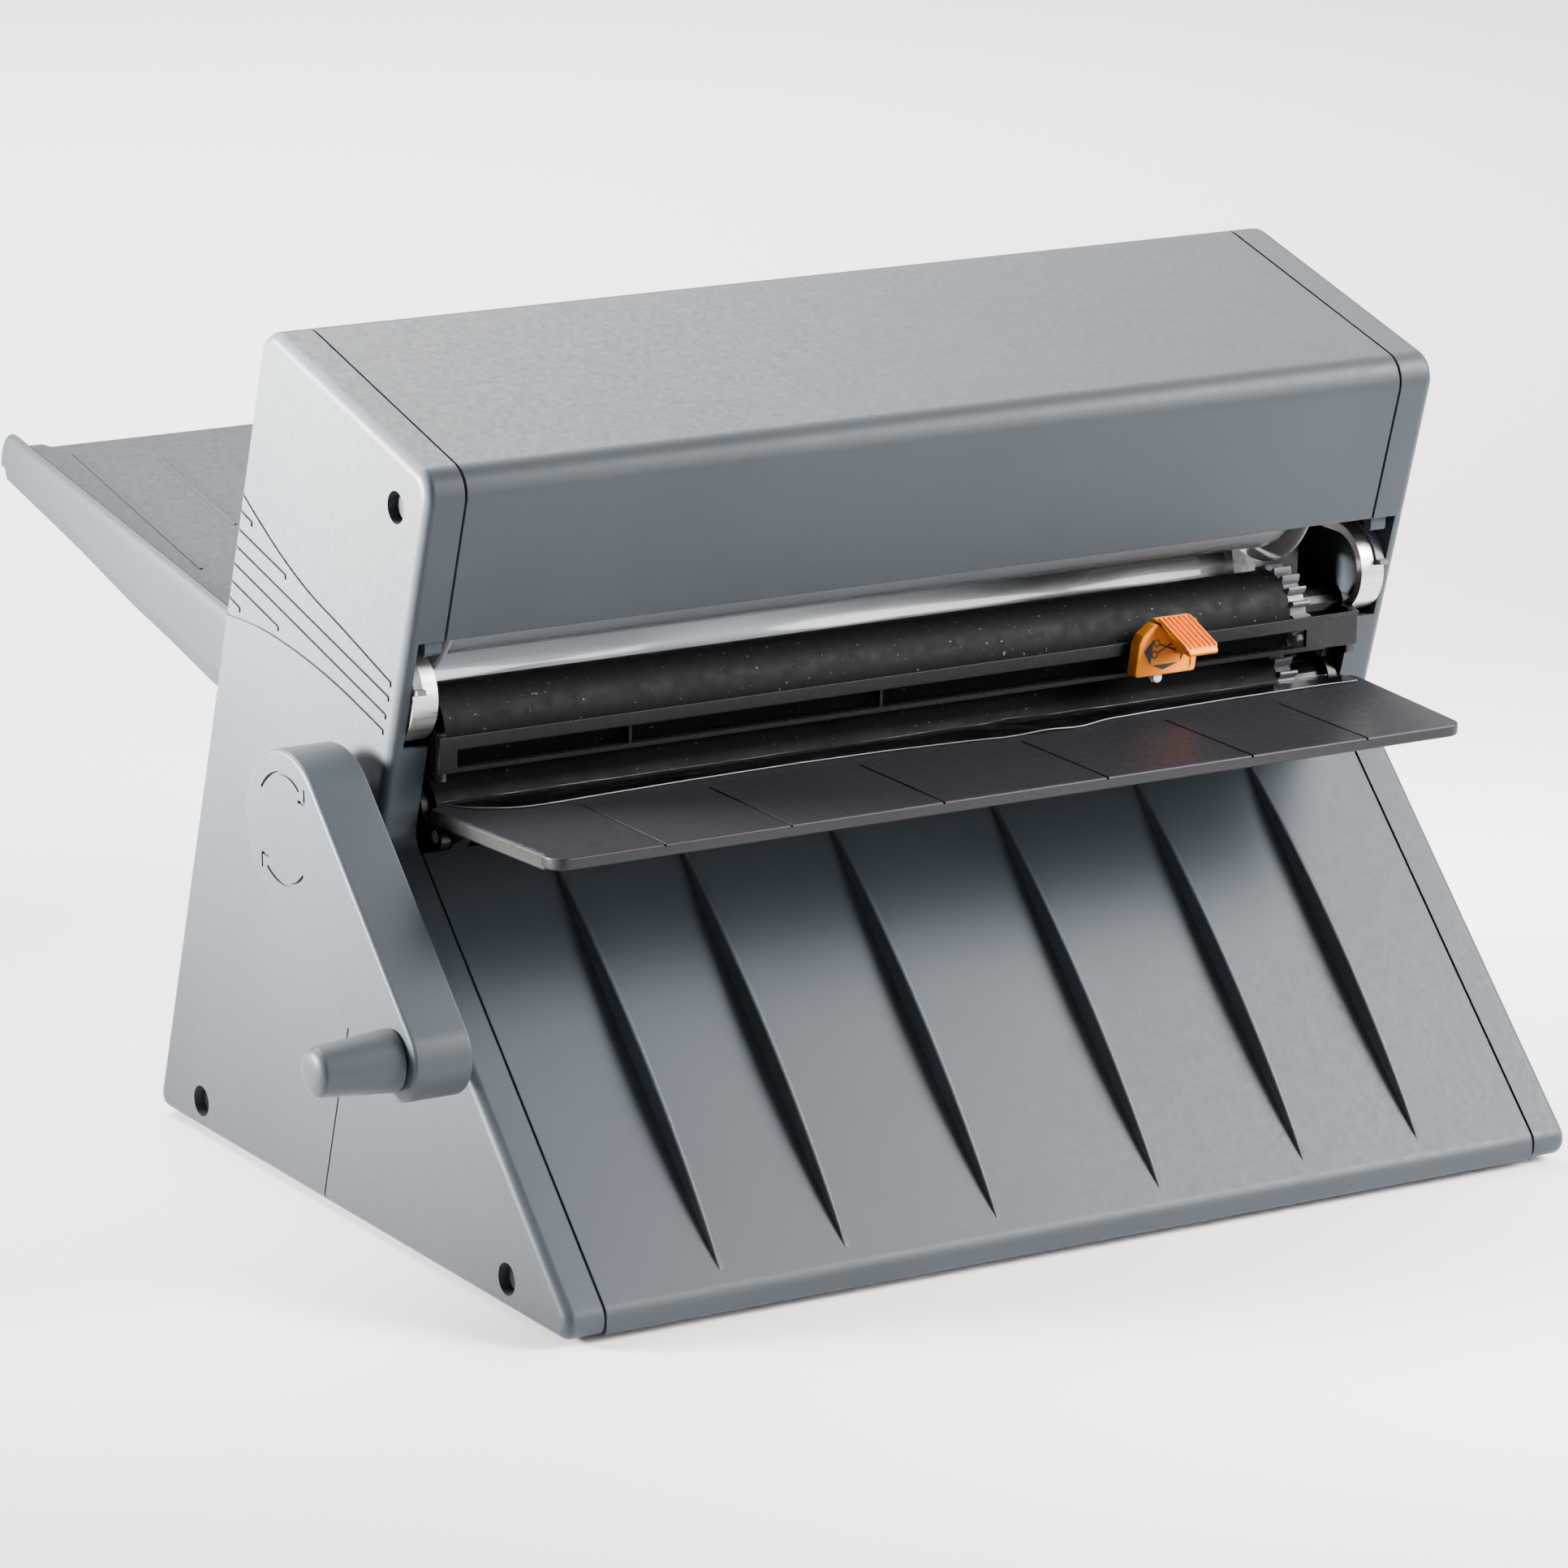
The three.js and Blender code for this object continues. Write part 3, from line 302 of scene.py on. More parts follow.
def shifted_corner(before, corner, after, distance):
    """The corner after its two edges move to their left by a distance."""
    p, u = moved_line(before, corner, distance)
    q, v = moved_line(corner, after, distance)
    turn = u.x * v.y - u.y * v.x
    gap = q - p
    at = p + u * ((gap.x * v.y - gap.y * v.x) / turn)
    radius = corner[2] if len(corner) > 2 else 0
    if radius:
        radius = max(radius + (-distance if turn > 0 else distance), 0)
    return (at.x, at.y, radius)


def inset(corners, distance):
    """A closed outline with every edge moved inwards, its corners' radii kept true."""
    n = len(corners)
    return [
        shifted_corner(corners[i - 1], corners[i], corners[(i + 1) % n], distance)
        for i in range(n)
    ]


def arc_points(centre, radius, start, end, steps):
    """Points on an arc about a centre; angles in degrees."""
    points = []
    for i in range(steps + 1):
        angle = math.radians(start + (end - start) * i / steps)
        points.append(
            Vector((centre[0] + radius * math.cos(angle), centre[1] + radius * math.sin(angle)))
        )
    return points


def smooth_path(points, steps=8):
    """A smooth curve through the points (Catmull-Rom)."""
    if len(points) < 3:
        return [Vector(point) for point in points]
    ends = [points[0], *points, points[-1]]
    path = []
    for a, b, c, d in zip(ends, ends[1:], ends[2:], ends[3:]):
        a, b, c, d = Vector(a), Vector(b), Vector(c), Vector(d)
        for i in range(steps):
            t = i / steps
            path.append(
                0.5 * (2 * b + (c - a) * t + (2 * a - 5 * b + 4 * c - d) * t * t
                       + (3 * b - a - 3 * c + d) * t * t * t)
            )
    return path + [Vector(points[-1])]


# ------------------------------------------------------------------ mesh tools


def clean(bm):
    bmesh.ops.remove_doubles(bm, verts=bm.verts, dist=1e-7)
    bmesh.ops.recalc_face_normals(bm, faces=bm.faces)
    return bm


def loft(bm, rings):
    """Closed skin over rings of points with equal counts; the first and last are capped."""
    rows = [[bm.verts.new(point) for point in ring] for ring in rings]
    n = len(rows[0])
    for lower, upper in zip(rows, rows[1:]):
        for i in range(n):
            j = (i + 1) % n
            bm.faces.new((lower[i], lower[j], upper[j], upper[i]))
    bm.faces.new(rows[0])
    bm.faces.new(list(reversed(rows[-1])))
    return bm


def along_x(bm, outline, x0, x1):
    return loft(bm, [[P(x, y, z) for y, z in outline] for x in (x0, x1)])


def up_z(bm, outline, z0, z1):
    return loft(bm, [[P(x, y, z) for x, y in outline] for z in (z0, z1)])


def block(bm, x0, x1, y0, y1, z0, z1):
    return up_z(bm, [(x0, y0), (x1, y0), (x1, y1), (x0, y1)], z0, z1)


def circle(centre, radius, sides):
    return arc_points(centre, radius, 0, 360, sides)[:-1]


def bar(bm, centre, radius, x0, x1, sides=64):
    return along_x(bm, circle(centre, radius, sides), x0, x1)


def turned(bm, centre, profile, sides=64):
    """A body turned about an x axis; profile is a row of (x, radius)."""
    rings = [
        [P(x, y, z) for y, z in circle(centre, max(radius, 0.01), sides)]
        for x, radius in profile
    ]
    return loft(bm, rings)


def strip_points(path, width):
    """The outline of a strip of even width along a path."""
    left, right = [], []
    for i, point in enumerate(path):
        before, after = path[max(i - 1, 0)], path[min(i + 1, len(path) - 1)]
        along = Vector((after[0] - before[0], after[1] - before[1])).normalized()
        side = Vector((-along.y, along.x)) * width / 2
        left.append(Vector(point[:2]) + side)
        right.append(Vector(point[:2]) - side)
    return left + right[::-1]


def new_object(name, bm):
    mesh = bpy.data.meshes.new(name)
    clean(bm).to_mesh(mesh)
    bm.free()
    obj = bpy.data.objects.new(name, mesh)
    SCENE.collection.objects.link(obj)
    return obj


def apply_modifiers(obj):
    bpy.context.view_layer.update()
    graph = bpy.context.evaluated_depsgraph_get()
    mesh = bpy.data.meshes.new_from_object(obj.evaluated_get(graph))
    obj.modifiers.clear()
    obj.data = mesh


def carve(obj, bm, operation="DIFFERENCE"):
    """Cuts a closed body out of a piece, or joins it on."""
    tool = new_object("tool", bm)
    modifier = obj.modifiers.new("carve", "BOOLEAN")
    modifier.operation = operation
    modifier.solver = "EXACT"
    modifier.object = tool
    apply_modifiers(obj)
    bpy.data.objects.remove(tool)


def soften(obj, width, segments=2, angle=32):
    modifier = obj.modifiers.new("soften", "BEVEL")
    modifier.width = width * MM
    modifier.segments = segments
    modifier.limit_method = "ANGLE"
    modifier.angle_limit = math.radians(angle)
    modifier.use_clamp_overlap = True
    apply_modifiers(obj)


def settle(obj, look, body, *nodes, slot=None, sharp=40):
    """Gives a piece its material, shading, body and the CAD nodes it stands for, which it hides; slot
    is not used.
    """
    mesh = obj.data
    mesh.materials.clear()
    mesh.materials.append(LOOKS[look])
    mesh.shade_smooth()
    mesh.set_sharp_from_angle(angle=math.radians(sharp))
    weighted = obj.modifiers.new("weighted", "WEIGHTED_NORMAL")
    weighted.keep_sharp = True
    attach(obj, body)
    if nodes:
        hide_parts(*nodes)
    return obj


def refined(node, look, body, width=0.3, slot=None):
    """A CAD node's own shape with its edges broken."""
    bm = bmesh.new()
    bm.from_mesh(NODES[node].data)
    bmesh.ops.remove_doubles(bm, verts=bm.verts, dist=1e-7)
    edges = list(bm.edges)
    bmesh.ops.dissolve_limit(bm, angle_limit=math.radians(0.5), verts=bm.verts, edges=edges)
    obj = new_object(f"{node}_part", bm)
    soften(obj, width)
    return settle(obj, look, body, node, slot=slot)


SIDES = ((-1, "left"), (1, "right"))


def span(side, a, b):
    return (a, b) if side > 0 else (-b, -a)


# ------------------------------------------------------------------ housing

LEAN = math.radians(15)
CAP_OUT, CAP_SEAM, CAP_WALL = 190.0, 176.6, 4.5
CAP_RIM = 3.6
PANEL_HALF = CAP_SEAM - 0.8
SHELL = 3.0
HINGE_R = 10.0
PIN_HOLE_R = 2.8
SLOPE_Y = -216.0
NOTCH_LOW, NOTCH_HIGH = 159.0, 194.9
TOP_BACK, TOP_LENGTH = (-12.9, 278.7), 111.9
TOP_FRONT = (
    TOP_BACK[0] - TOP_LENGTH * math.cos(LEAN),
    TOP_BACK[1] - TOP_LENGTH * math.sin(LEAN),
)
TOP_FRONT_R = 9.5
BACK_FOOT_Y = 61.8


def front_y(z):
    return TOP_FRONT[0] + math.tan(LEAN) * (TOP_FRONT[1] - z)


def back_y(z):
    return BACK_FOOT_Y - math.tan(LEAN) * z


inner_z = (front_y(0) - SLOPE_Y) / (1 + math.tan(LEAN))
HOUSING = [
    (TOE_Y, 0, 5),
    (BACK_FOOT_Y, 0, 5),
    (back_y(TOP_BACK[1]), TOP_BACK[1], HINGE_R),
    (*TOP_FRONT, TOP_FRONT_R),
    (front_y(inner_z), inner_z, 8),
    (TOE_Y, 8, 6),
]
HINGE = inset(HOUSING, HINGE_R)[2][:2]
SCREWS = ((-99.5, 237.2), (30, 9.9), (-171.7, 10))
NIP_LOWER, NIP_UPPER = (-80.1, 134.0), (-84.6, 161.6)
BAND_CENTRE = (-87.0, 174.5)
FIN_X = (30.9, 87.1, 132.6)

# Fine decorative lines on an end cap's outer face, as (y, z) points. Each falls towards the front and
# ends in a short drop.
CAP_LINE_DROP = 1.6
CAP_LINES = (
    [
        (1.5, 221.5), (-9.8, 214.6), (-26.5, 205.6),
        (-44.4, 198.0), (-66.1, 191.3), (-96.9, 181.3),
    ],
    [(2.9, 215.3), (-5.6, 212.7)],
    [(4.7, 209.0), (-28.3, 200.4)],
    [(6.2, 203.0), (-95.5, 176.4)],
    [(7.8, 197.1), (-93.7, 170.3)],
    [(9.4, 191.0), (-23.4, 182.5)],
    [(10.9, 185.2), (2.6, 182.8)],
    [
        (12.4, 179.0), (-7.0, 179.6), (-23.8, 178.6),
        (-44.5, 175.9), (-66.3, 171.6), (-92.1, 165.0),
    ],
)


def engrave(obj, path, width, depth, face_x):
    """Cuts a fine groove along a (y, z) path into the outer face at face_x."""
    side = 1 if face_x > 0 else -1
    x0, x1 = sorted((face_x - side * depth, face_x + side))
    carve(obj, along_x(bmesh.new(), strip_points(path, width), x0, x1))


def end_cap(side, word):
    sections = [(CAP_SEAM, 0.0)]
    for i in range(7):
        angle = math.radians(15 * i)
        inward = CAP_RIM * (1 - math.cos(angle))
        sections.append((CAP_OUT - CAP_RIM * (1 - math.sin(angle)), inward))
    rings = [
        [P(side * x, y, z) for y, z in rounded(inset(HOUSING, d) if d else HOUSING, 10)]
        for x, d in sections
    ]
    cap = new_object(f"end_cap_{word}_shell", loft(bmesh.new(), rings))
    inner = (CAP_SEAM - 1, CAP_OUT - CAP_WALL)
    carve(cap, along_x(bmesh.new(), rounded(inset(HOUSING, SHELL), 10), *span(side, *inner)))
    carve(cap, block(bmesh.new(), *span(side, *inner), -130, -84, NOTCH_LOW, NOTCH_HIGH))
    for at in SCREWS:
        carve(cap, bar(bmesh.new(), at, 7.7, *span(side, CAP_SEAM + 0.3, CAP_OUT - 2)), "UNION")
    tab = [(-105, 197), (-105, 190.4, 1.5), (-101.6, 189.6, 1.2), (-100.4, 197)]
    carve(cap, along_x(bmesh.new(), rounded(tab, 5), *span(side, CAP_SEAM, CAP_SEAM + 6)), "UNION")
    for at in SCREWS:
        carve(cap, bar(bmesh.new(), at, 5.2, *span(side, CAP_OUT - 6, CAP_OUT + 1), 40))
        carve(cap, bar(bmesh.new(), at, 2.3, *span(side, CAP_SEAM - 1, CAP_OUT), 24))
    if side < 0:
        carve(cap, bar(bmesh.new(), NIP_LOWER, 8.5, -CAP_OUT - 1, -CAP_SEAM))
    soften(cap, 0.35, 2, 35)
    for points in CAP_LINES:
        path = smooth_path(points)
        end = path[-1]
        engrave(cap, path, 0.95, 1.0, side * CAP_OUT)
        hook = [end + Vector((0.1, 0.35)), end + Vector((0.1, -CAP_LINE_DROP))]
        engrave(cap, hook, 1.25, 1.1, side * CAP_OUT)
    engrave(cap, [(-75.8, 84), (-54.3, 0.5)], 0.8, 1.2, side * CAP_OUT)
    settle(cap, "housing_plastic", "chassis", f"end_cap_{word}", sharp=34)


def sheet(corners, thickness, steps=10):
    """The outline of a sheet: an open row of corners, and the same row moved to its left."""
    last = len(corners) - 1
    inner = []
    for i, corner in enumerate(corners):
        if 0 < i < last:
            inner.append(shifted_corner(corners[i - 1], corner, corners[i + 1], thickness))
        elif i == 0:
            inner.append(tuple(moved_line(corner, corners[1], thickness)[0]))
        else:
            before = corners[last - 1]
            onward = (2 * corner[0] - before[0], 2 * corner[1] - before[1])
            inner.append(tuple(moved_line(corner, onward, thickness)[0]))
    return rounded([*corners, *reversed(inner)], steps)


def front_panel():
    run = [(-92.4, -92.4 - SLOPE_Y), (TOE_Y, 8, 6), (TOE_Y, 0.2, 2.5), (TOE_Y + 22, 0.2)]
    panel = new_object(
        "front_panel_skin",
        along_x(bmesh.new(), sheet(run, SHELL), -PANEL_HALF, PANEL_HALF),
    )
    soften(panel, 0.3, 3, 50)
    settle(panel, "housing_plastic", "chassis", "front_panel")
    lip = new_object(
        "front_panel_lip",
        block(bmesh.new(), 6 - PANEL_HALF, PANEL_HALF - 6, -95.4, -83.4, 115.5, 118),
    )
    soften(lip, 0.4)
    settle(lip, "housing_plastic", "chassis", "front_panel")
    fins = bmesh.new()
    for x in FIN_X:
        slope_fin(fins, x)
        slope_fin(fins, -x)
    settle(new_object("front_panel_fins", fins), "housing_plastic", "chassis", "front_panel")


def slope_fin(bm, x):
    """A crescent blade on the slope: highest half way down, its crest rounded, its foot filleted."""
    top, tip, rise, count = -97.5, -203.0, 6.5, 40
    rings = []
    for i in range(count + 1):
        t = i / count
        y = top + (tip - top) * t
        height = rise * max(4 * t * (1 - t), 0.0) ** 0.9
        half = 0.35 + 0.75 * math.sqrt(max(math.sin(math.pi * t), 0.0))
        edge = min(0.55, height * 0.4)
        section = [
            (-half, -1.0), (-half, height - edge), (-half * 0.8, height - edge * 0.4),
            (-half * 0.4, height), (half * 0.4, height), (half * 0.8, height - edge * 0.4),
            (half, height - edge), (half + 0.35, 0.3 * min(height, 1.0)), (half + 0.9, 0.02),
            (half + 0.9, -1.0),
        ]
        ring = []
        for dx, dn in section:
            offset = dn * math.sqrt(0.5)
            ring.append(P(x + dx, y - offset, y - SLOPE_Y + offset))
        rings.append(ring)
    loft(bm, rings)


def top_cover():
    edge = front_y(NOTCH_HIGH)
    slant = SHELL / math.cos(LEAN)
    outer = [Vector((edge, NOTCH_HIGH))]
    outer += arc_at((edge, NOTCH_HIGH), (*TOP_FRONT, TOP_FRONT_R), TOP_BACK, 12)
    outer += arc_points(HINGE, HINGE_R, 105, 15, 20)
    inner = arc_points(HINGE, HINGE_R - SHELL, 15, 105, 20)
    corner = shifted_corner(TOP_BACK, (*TOP_FRONT, TOP_FRONT_R), (edge, NOTCH_HIGH), SHELL)
    inner += arc_at(TOP_BACK, corner, (edge, NOTCH_HIGH), 12)
    lip_top = NOTCH_HIGH + 2.2
    inner += [
        Vector((front_y(lip_top) + slant, lip_top)),
        Vector((edge + 4.4, lip_top)),
        Vector((edge + 4.4, NOTCH_HIGH)),
    ]
    cover = new_object(
        "top_cover_skin",
        along_x(bmesh.new(), outer + inner, -PANEL_HALF, PANEL_HALF),
    )
    soften(cover, 0.3, 3, 50)
    settle(cover, "housing_plastic", "cover", "top_cover")
    y, z = HINGE
    for side, word in SIDES:
        ear = bmesh.new()
        outline = [
            (y, z - 2), (y + 5, z - 2), (y + 5, z + 5), (y, z + 7.5),
            (y - 30, z - 0.6), (y - 30, z - 2),
        ]
        along_x(ear, rounded([(*c, 1.0) for c in outline], 4), *span(side, 162, 168))
        piece = new_object(f"cover_ear_{word}", ear)
        carve(piece, bar(bmesh.new(), HINGE, 7.5, *span(side, 162.02, 167.98)), "UNION")
        carve(piece, bar(bmesh.new(), HINGE, PIN_HOLE_R, *span(side, 150, 180), 32))
        soften(piece, 0.3)
        settle(piece, "housing_plastic", "cover", "top_cover")


# ------------------------------------------------------------------ trays

FEED_SLOPE = 0.1638
FEED_PIVOT = (30, 150)


def feed_z(y):
    """The height of the feed tray's floor."""
    return 171.1 + FEED_SLOPE * (y - 50)


def between(points, y):
    """The height at y of a broken line of (y, z)."""
    for (y0, z0), (y1, z1) in zip(points, points[1:]):
        if y <= y1:
            return z0 + (z1 - z0) * (y - y0) / (y1 - y0)
    return points[-1][1]


RAIL_STEP = (
    (24, 149.5), (53.8, 151.7), (82.9, 157.7), (107.2, 162.8), (148.4, 174.6), (203.8, 186.5),
)
RAIL_FOOT = (
    (24, 144.4), (51.2, 144.2), (83, 152), (107.4, 157.3), (148.5, 168.2), (203.8, 181.1),
)


def feed_rail(bm, side):
    """The side rail of the feed tray: a rounded crest, a broad flank, a step, and a set-back foot."""
    stations = [24 + 174 * i / 58 for i in range(59)] + [
        199.8, 201.2, 202.3, 203.1, 203.6, 203.8
    ]
    rings = []
    for y in stations:
        past = max(y - 198.6, 0) / 5.2
        ahead = max(29 - y, 0) / 5.0
        drop = 4.2 * (1 - math.sqrt(max(1 - past * past, 0)))
        drop += 4 * (1 - math.sqrt(max(1 - ahead * ahead, 0)))
        plane = feed_z(y)
        step, foot = between(RAIL_STEP, y), between(RAIL_FOOT, y)
        rise = [0.0, 0.5, 1.5, 2.2, 2.5, 2.2, 1.4, 0.2]
        across = [170.4, 171.1, 171.8, 172.5, 173.3, 174.1, 174.8, 175.3]
        section = [(170.4, max(foot, plane - 9))]
        section += [(x, plane + h - drop) for x, h in zip(across, rise)]
        section += [
            (175.75, plane - 3.2 - drop * 0.6), (176.0, step + 0.5), (175.9, step),
            (174.9, step - 0.5), (173.9, foot + 0.4), (173.4, foot), (171.8, foot),
        ]
        rings.append([P(side * x, y, z) for x, z in section])
    loft(bm, rings)


def tilted_plate(bm, outline, low, high):
    """A flat outline (x, y) laid on the feed plane, from one height above it to another."""
    loft(bm, [[P(x, y, feed_z(y) + h) for x, y in outline] for h in (low, high)])


def feed_tray():
    plate = bmesh.new()
    half, rear = 171.6, 191.8
    outline = [
        (-half, 26, 1), (half, 26, 1), (half, rear + 3, 1.5), (half - 7, rear + 3, 1.5),
        (half - 8.5, rear, 1.5), (-half + 8.5, rear, 1.5), (-half + 7, rear + 3, 1.5),
        (-half, rear + 3, 1.5),
    ]
    tilted_plate(plate, rounded(outline, 5), -2.5, 0)
    tray = new_object("feed_tray_plate", plate)
    soften(tray, 0.5, 3, 50)
    settle(tray, "feed_tray_plastic", "feed_tray_body", "feed_tray")
    rails = bmesh.new()
    for side, _ in SIDES:
        feed_rail(rails, side)
    piece = new_object("feed_tray_rails", rails)
    settle(piece, "feed_tray_plastic", "feed_tray_body", "feed_tray")
    ribs = bmesh.new()
    for side, _ in SIDES:
        for start, end in (((-158.6, 183), (-163.9, 79.7)), ((-132, 172), (-134.8, 111))):
            path = [(side * -start[0], start[1]), (side * -end[0], end[1])]
            pill = pill_outline(path, 1.5)
            tilted_plate(ribs, pill, -0.4, 0.45)
    piece = new_object("feed_tray_ribs", ribs)
    soften(piece, 0.25, 2, 50)
    settle(piece, "feed_tray_plastic", "feed_tray_body", "feed_tray")
    under = bmesh.new()
    block(under, -half + 1, half - 1, rear - 2.3, rear + 0.7, feed_z(rear) - 9, feed_z(rear) - 1)
    for side, _ in SIDES:
        block(under, *span(side, 166, 172), 27, 33, 150, feed_z(27) - 1)
    piece = new_object("feed_tray_underside", under)
    soften(piece, 0.4)
    settle(piece, "feed_tray_plastic", "feed_tray_body", "feed_tray")
    for side, word in SIDES:
        round_bar = bar(bmesh.new(), FEED_PIVOT, 6.5, *span(side, 164, 175.6))
        boss = new_object(f"feed_tray_boss_{word}", round_bar)
        carve(boss, bar(bmesh.new(), FEED_PIVOT, PIN_HOLE_R, *span(side, 150, 180), 32))
        soften(boss, 0.4)
        settle(boss, "feed_tray_plastic", "feed_tray_body", "feed_tray")


def pill_outline(path, width):
    """A straight strip with round ends."""
    a, b = Vector(path[0]), Vector(path[1])
    heading = math.degrees(math.atan2(b.y - a.y, b.x - a.x))
    return arc_points(b, width / 2, heading - 90, heading + 90, 8) + arc_points(
        a, width / 2, heading + 90, heading + 270, 8
    )


TRAY_TOP, TRAY_T = 139.5, 4.0
TRAY_BACK_Y, TRAY_FRONT_Y = -96.6, -167.0
TRAY_HALF_BACK, TRAY_HALF_FRONT = 177.0, 171.5
TRAY_PIVOT = (-99.5, 130.6)


def exit_tray():
    half = [
        (170.9, TRAY_BACK_Y), (TRAY_HALF_BACK, TRAY_BACK_Y - 1.5, 2),
        (TRAY_HALF_BACK, -104, 3), (TRAY_HALF_FRONT, TRAY_FRONT_Y, 6),
    ]
    outline = half + [(-x, y, *r) for x, y, *r in reversed(half)]
    slab = up_z(bmesh.new(), rounded(outline, 10), TRAY_TOP - TRAY_T, TRAY_TOP)
    tray = new_object("exit_tray_plate", slab)
    soften(tray, 0.7, 3, 50)
    grooves = bmesh.new()
    for x in (*FIN_X, *(-x for x in FIN_X)):
        block(grooves, x - 0.45, x + 0.45, TRAY_FRONT_Y - 1, -117, TRAY_TOP - 0.8, TRAY_TOP + 1)
    carve(tray, grooves)
    settle(tray, "exit_tray_plastic", "exit_tray_body", "exit_tray", sharp=34)
    y, z = TRAY_PIVOT
    arm = [
        (y - 0.6, TRAY_TOP - 1), (y - 14, TRAY_TOP - 1), (y - 13, TRAY_TOP - 6.5, 2),
        (y - 0.6, z - 4),
    ]
    for side, word in SIDES:
        reach = span(side, 165.5, 171.5)
        piece = new_object(f"exit_tray_arm_{word}", along_x(bmesh.new(), rounded(arm, 6), *reach))
        carve(piece, bar(bmesh.new(), TRAY_PIVOT, 4.6, reach[0] - 0.02, reach[1] + 0.02), "UNION")
        carve(piece, bar(bmesh.new(), TRAY_PIVOT, PIN_HOLE_R, reach[0] - 1, reach[1] + 1, 32))
        soften(piece, 0.3)
        settle(piece, "exit_tray_plastic", "exit_tray_body", "exit_tray")


FILM_EDGE = (
    (-170.5, -98.5), (-164, -106), (-150, -111.5), (-120, -110.5), (-80, -109), (-40, -108.5),
    (0, -110), (35, -113.2), (60, -112), (78, -108.5), (110, -107), (150, -106.6), (172, -107),
)


def film_height(x, y):
    """The film's gentle waves above the tray."""
    lift = 0.5 + 0.5 * noise.noise(Vector((x * 0.035, y * 0.11, 3.7)))
    curl = math.exp(-((x - 45) / 26) ** 2) + 0.7 * math.exp(-((x + 160) / 10) ** 2)
    return TRAY_TOP + 0.35 + 0.45 * lift + 0.7 * curl * (0.5 + 0.5 * math.sin(x * 0.21 + y * 0.4))


def film_web():
    """The film lying on the tray, and a pale strand along its cut edge: a painted highlight for the
    edge catching light.
    """
    edge = smooth_path(FILM_EDGE, 10)
    rows = 7
    top, low = [], []
    bm = bmesh.new()
    back = TRAY_BACK_Y + 0.6
    for point in edge:
        line = [(point.x, back + (point.y - back) * j / rows) for j in range(rows + 1)]
        top.append([bm.verts.new(P(x, y, film_height(x, y) + 0.1)) for x, y in line])
        low.append([bm.verts.new(P(x, y, film_height(x, y))) for x, y in line])
    n, m = len(top), rows + 1
    for i in range(n - 1):
        for j in range(m - 1):
            bm.faces.new((top[i][j], top[i + 1][j], top[i + 1][j + 1], top[i][j + 1]))
            bm.faces.new((low[i][j], low[i][j + 1], low[i + 1][j + 1], low[i + 1][j]))
        bm.faces.new((top[i][0], low[i][0], low[i + 1][0], top[i + 1][0]))
        bm.faces.new((top[i][-1], top[i + 1][-1], low[i + 1][-1], low[i][-1]))
    for j in range(m - 1):
        bm.faces.new((top[0][j], top[0][j + 1], low[0][j + 1], low[0][j]))
        bm.faces.new((top[-1][j], low[-1][j], low[-1][j + 1], top[-1][j + 1]))
    web = new_object("film_web_sheet", bm)
    settle(web, "tray_film", "exit_tray_body", "film_web", slot="clear_plastic", sharp=60)
    # The pale strand along the cut edge is a painted highlight.
    edge_highlight_line = bmesh.new()
    rings = []
    for x, y in edge:
        centre = (y, film_height(x, y) + 0.05)
        rings.append([P(x, v, w) for v, w in circle(centre, 0.16, 6)])
    loft(edge_highlight_line, rings)
    settle(new_object("film_web_edge_highlight", edge_highlight_line), "film_edge_highlight", "exit_tray_body", slot="clear_plastic")


def edge_guide():
    """A brittle clear strip along the left edge of the exit tray, its edges uneven."""
    lean = (TRAY_HALF_BACK - TRAY_HALF_FRONT) / (-104 - TRAY_FRONT_Y)
    bm = bmesh.new()
    for layer in range(3):
        rings = []
        for i in range(61):
            y = -107 + (TRAY_FRONT_Y + 5 + 107) * i / 60
            x = -TRAY_HALF_FRONT - lean * (y - TRAY_FRONT_Y)
            seed = Vector((y * 0.45, layer * 7.3, 1.9))
            wobble = noise.noise(seed) * 0.55
            height = 0.4 + 0.55 * noise.noise(seed * 1.7 + Vector((5, 0, 0)))
            inner, outer = x - 0.35 - 0.5 * layer, x - 0.75 - 0.5 * layer
            low, high = TRAY_TOP - TRAY_T - 0.2 + 0.5 * layer, TRAY_TOP + 0.5 + height - 0.5 * layer
            rings.append([
                P(inner + wobble * 0.3, y, low), P(inner + wobble * 0.4, y, high),
                P(outer + wobble * 0.4, y, high - 0.2), P(outer + wobble * 0.3, y, low + 0.1),
            ])
        loft(bm, rings)
    strip = new_object("tray_edge_strip", bm)
    settle(strip, "crystal_edge", "exit_tray_body", "tray_edge_guide", slot="clear_plastic")


# ------------------------------------------------------------------ cutter

CUTTER_X = 93.0
CUTTER_FACE = -107.6
MARK_DEPTH = 0.35
FOOT_AT = (91.0, 150.9)
RAIL_FRONT, RAIL_BACK = -102.0, -100.4


def rail():
    """The rail that the cutter slides along: a thin upright plate with a long slot."""
    bm = block(bmesh.new(), -175.5, 175.5, RAIL_FRONT, RAIL_BACK, 151, 162.6)
    plate = new_object("cutter_rail_plate", bm)
    carve(plate, block(bmesh.new(), -169, 154, -103, -99, 152.6, 158.3))
    carve(plate, block(bmesh.new(), 162, 177, -103, -101.3, 150, 161.6))
    soften(plate, 0.3, 2)
    settle(plate, "black_plastic", "chassis", "cutter_rail")
    parts = bmesh.new()
    block(parts, -171.6, 171.6, -100.6, -97.4, 151, 152.1)
    for x in (-105.6, -12.0, 81.6):
        block(parts, x - 0.6, x + 0.6, -99.8, -97.5, 151.6, 158.6)
    back = new_object("cutter_rail_ledge", parts)
    soften(back, 0.2, 2)
    settle(back, "black_plastic", "chassis", "cutter_rail")


def across_y(bm, outline, y0, y1):
    """An (x, z) outline carried from y0 to y1."""
    return loft(bm, [[P(u, v, w) for u, w in outline] for v in (y0, y1)])


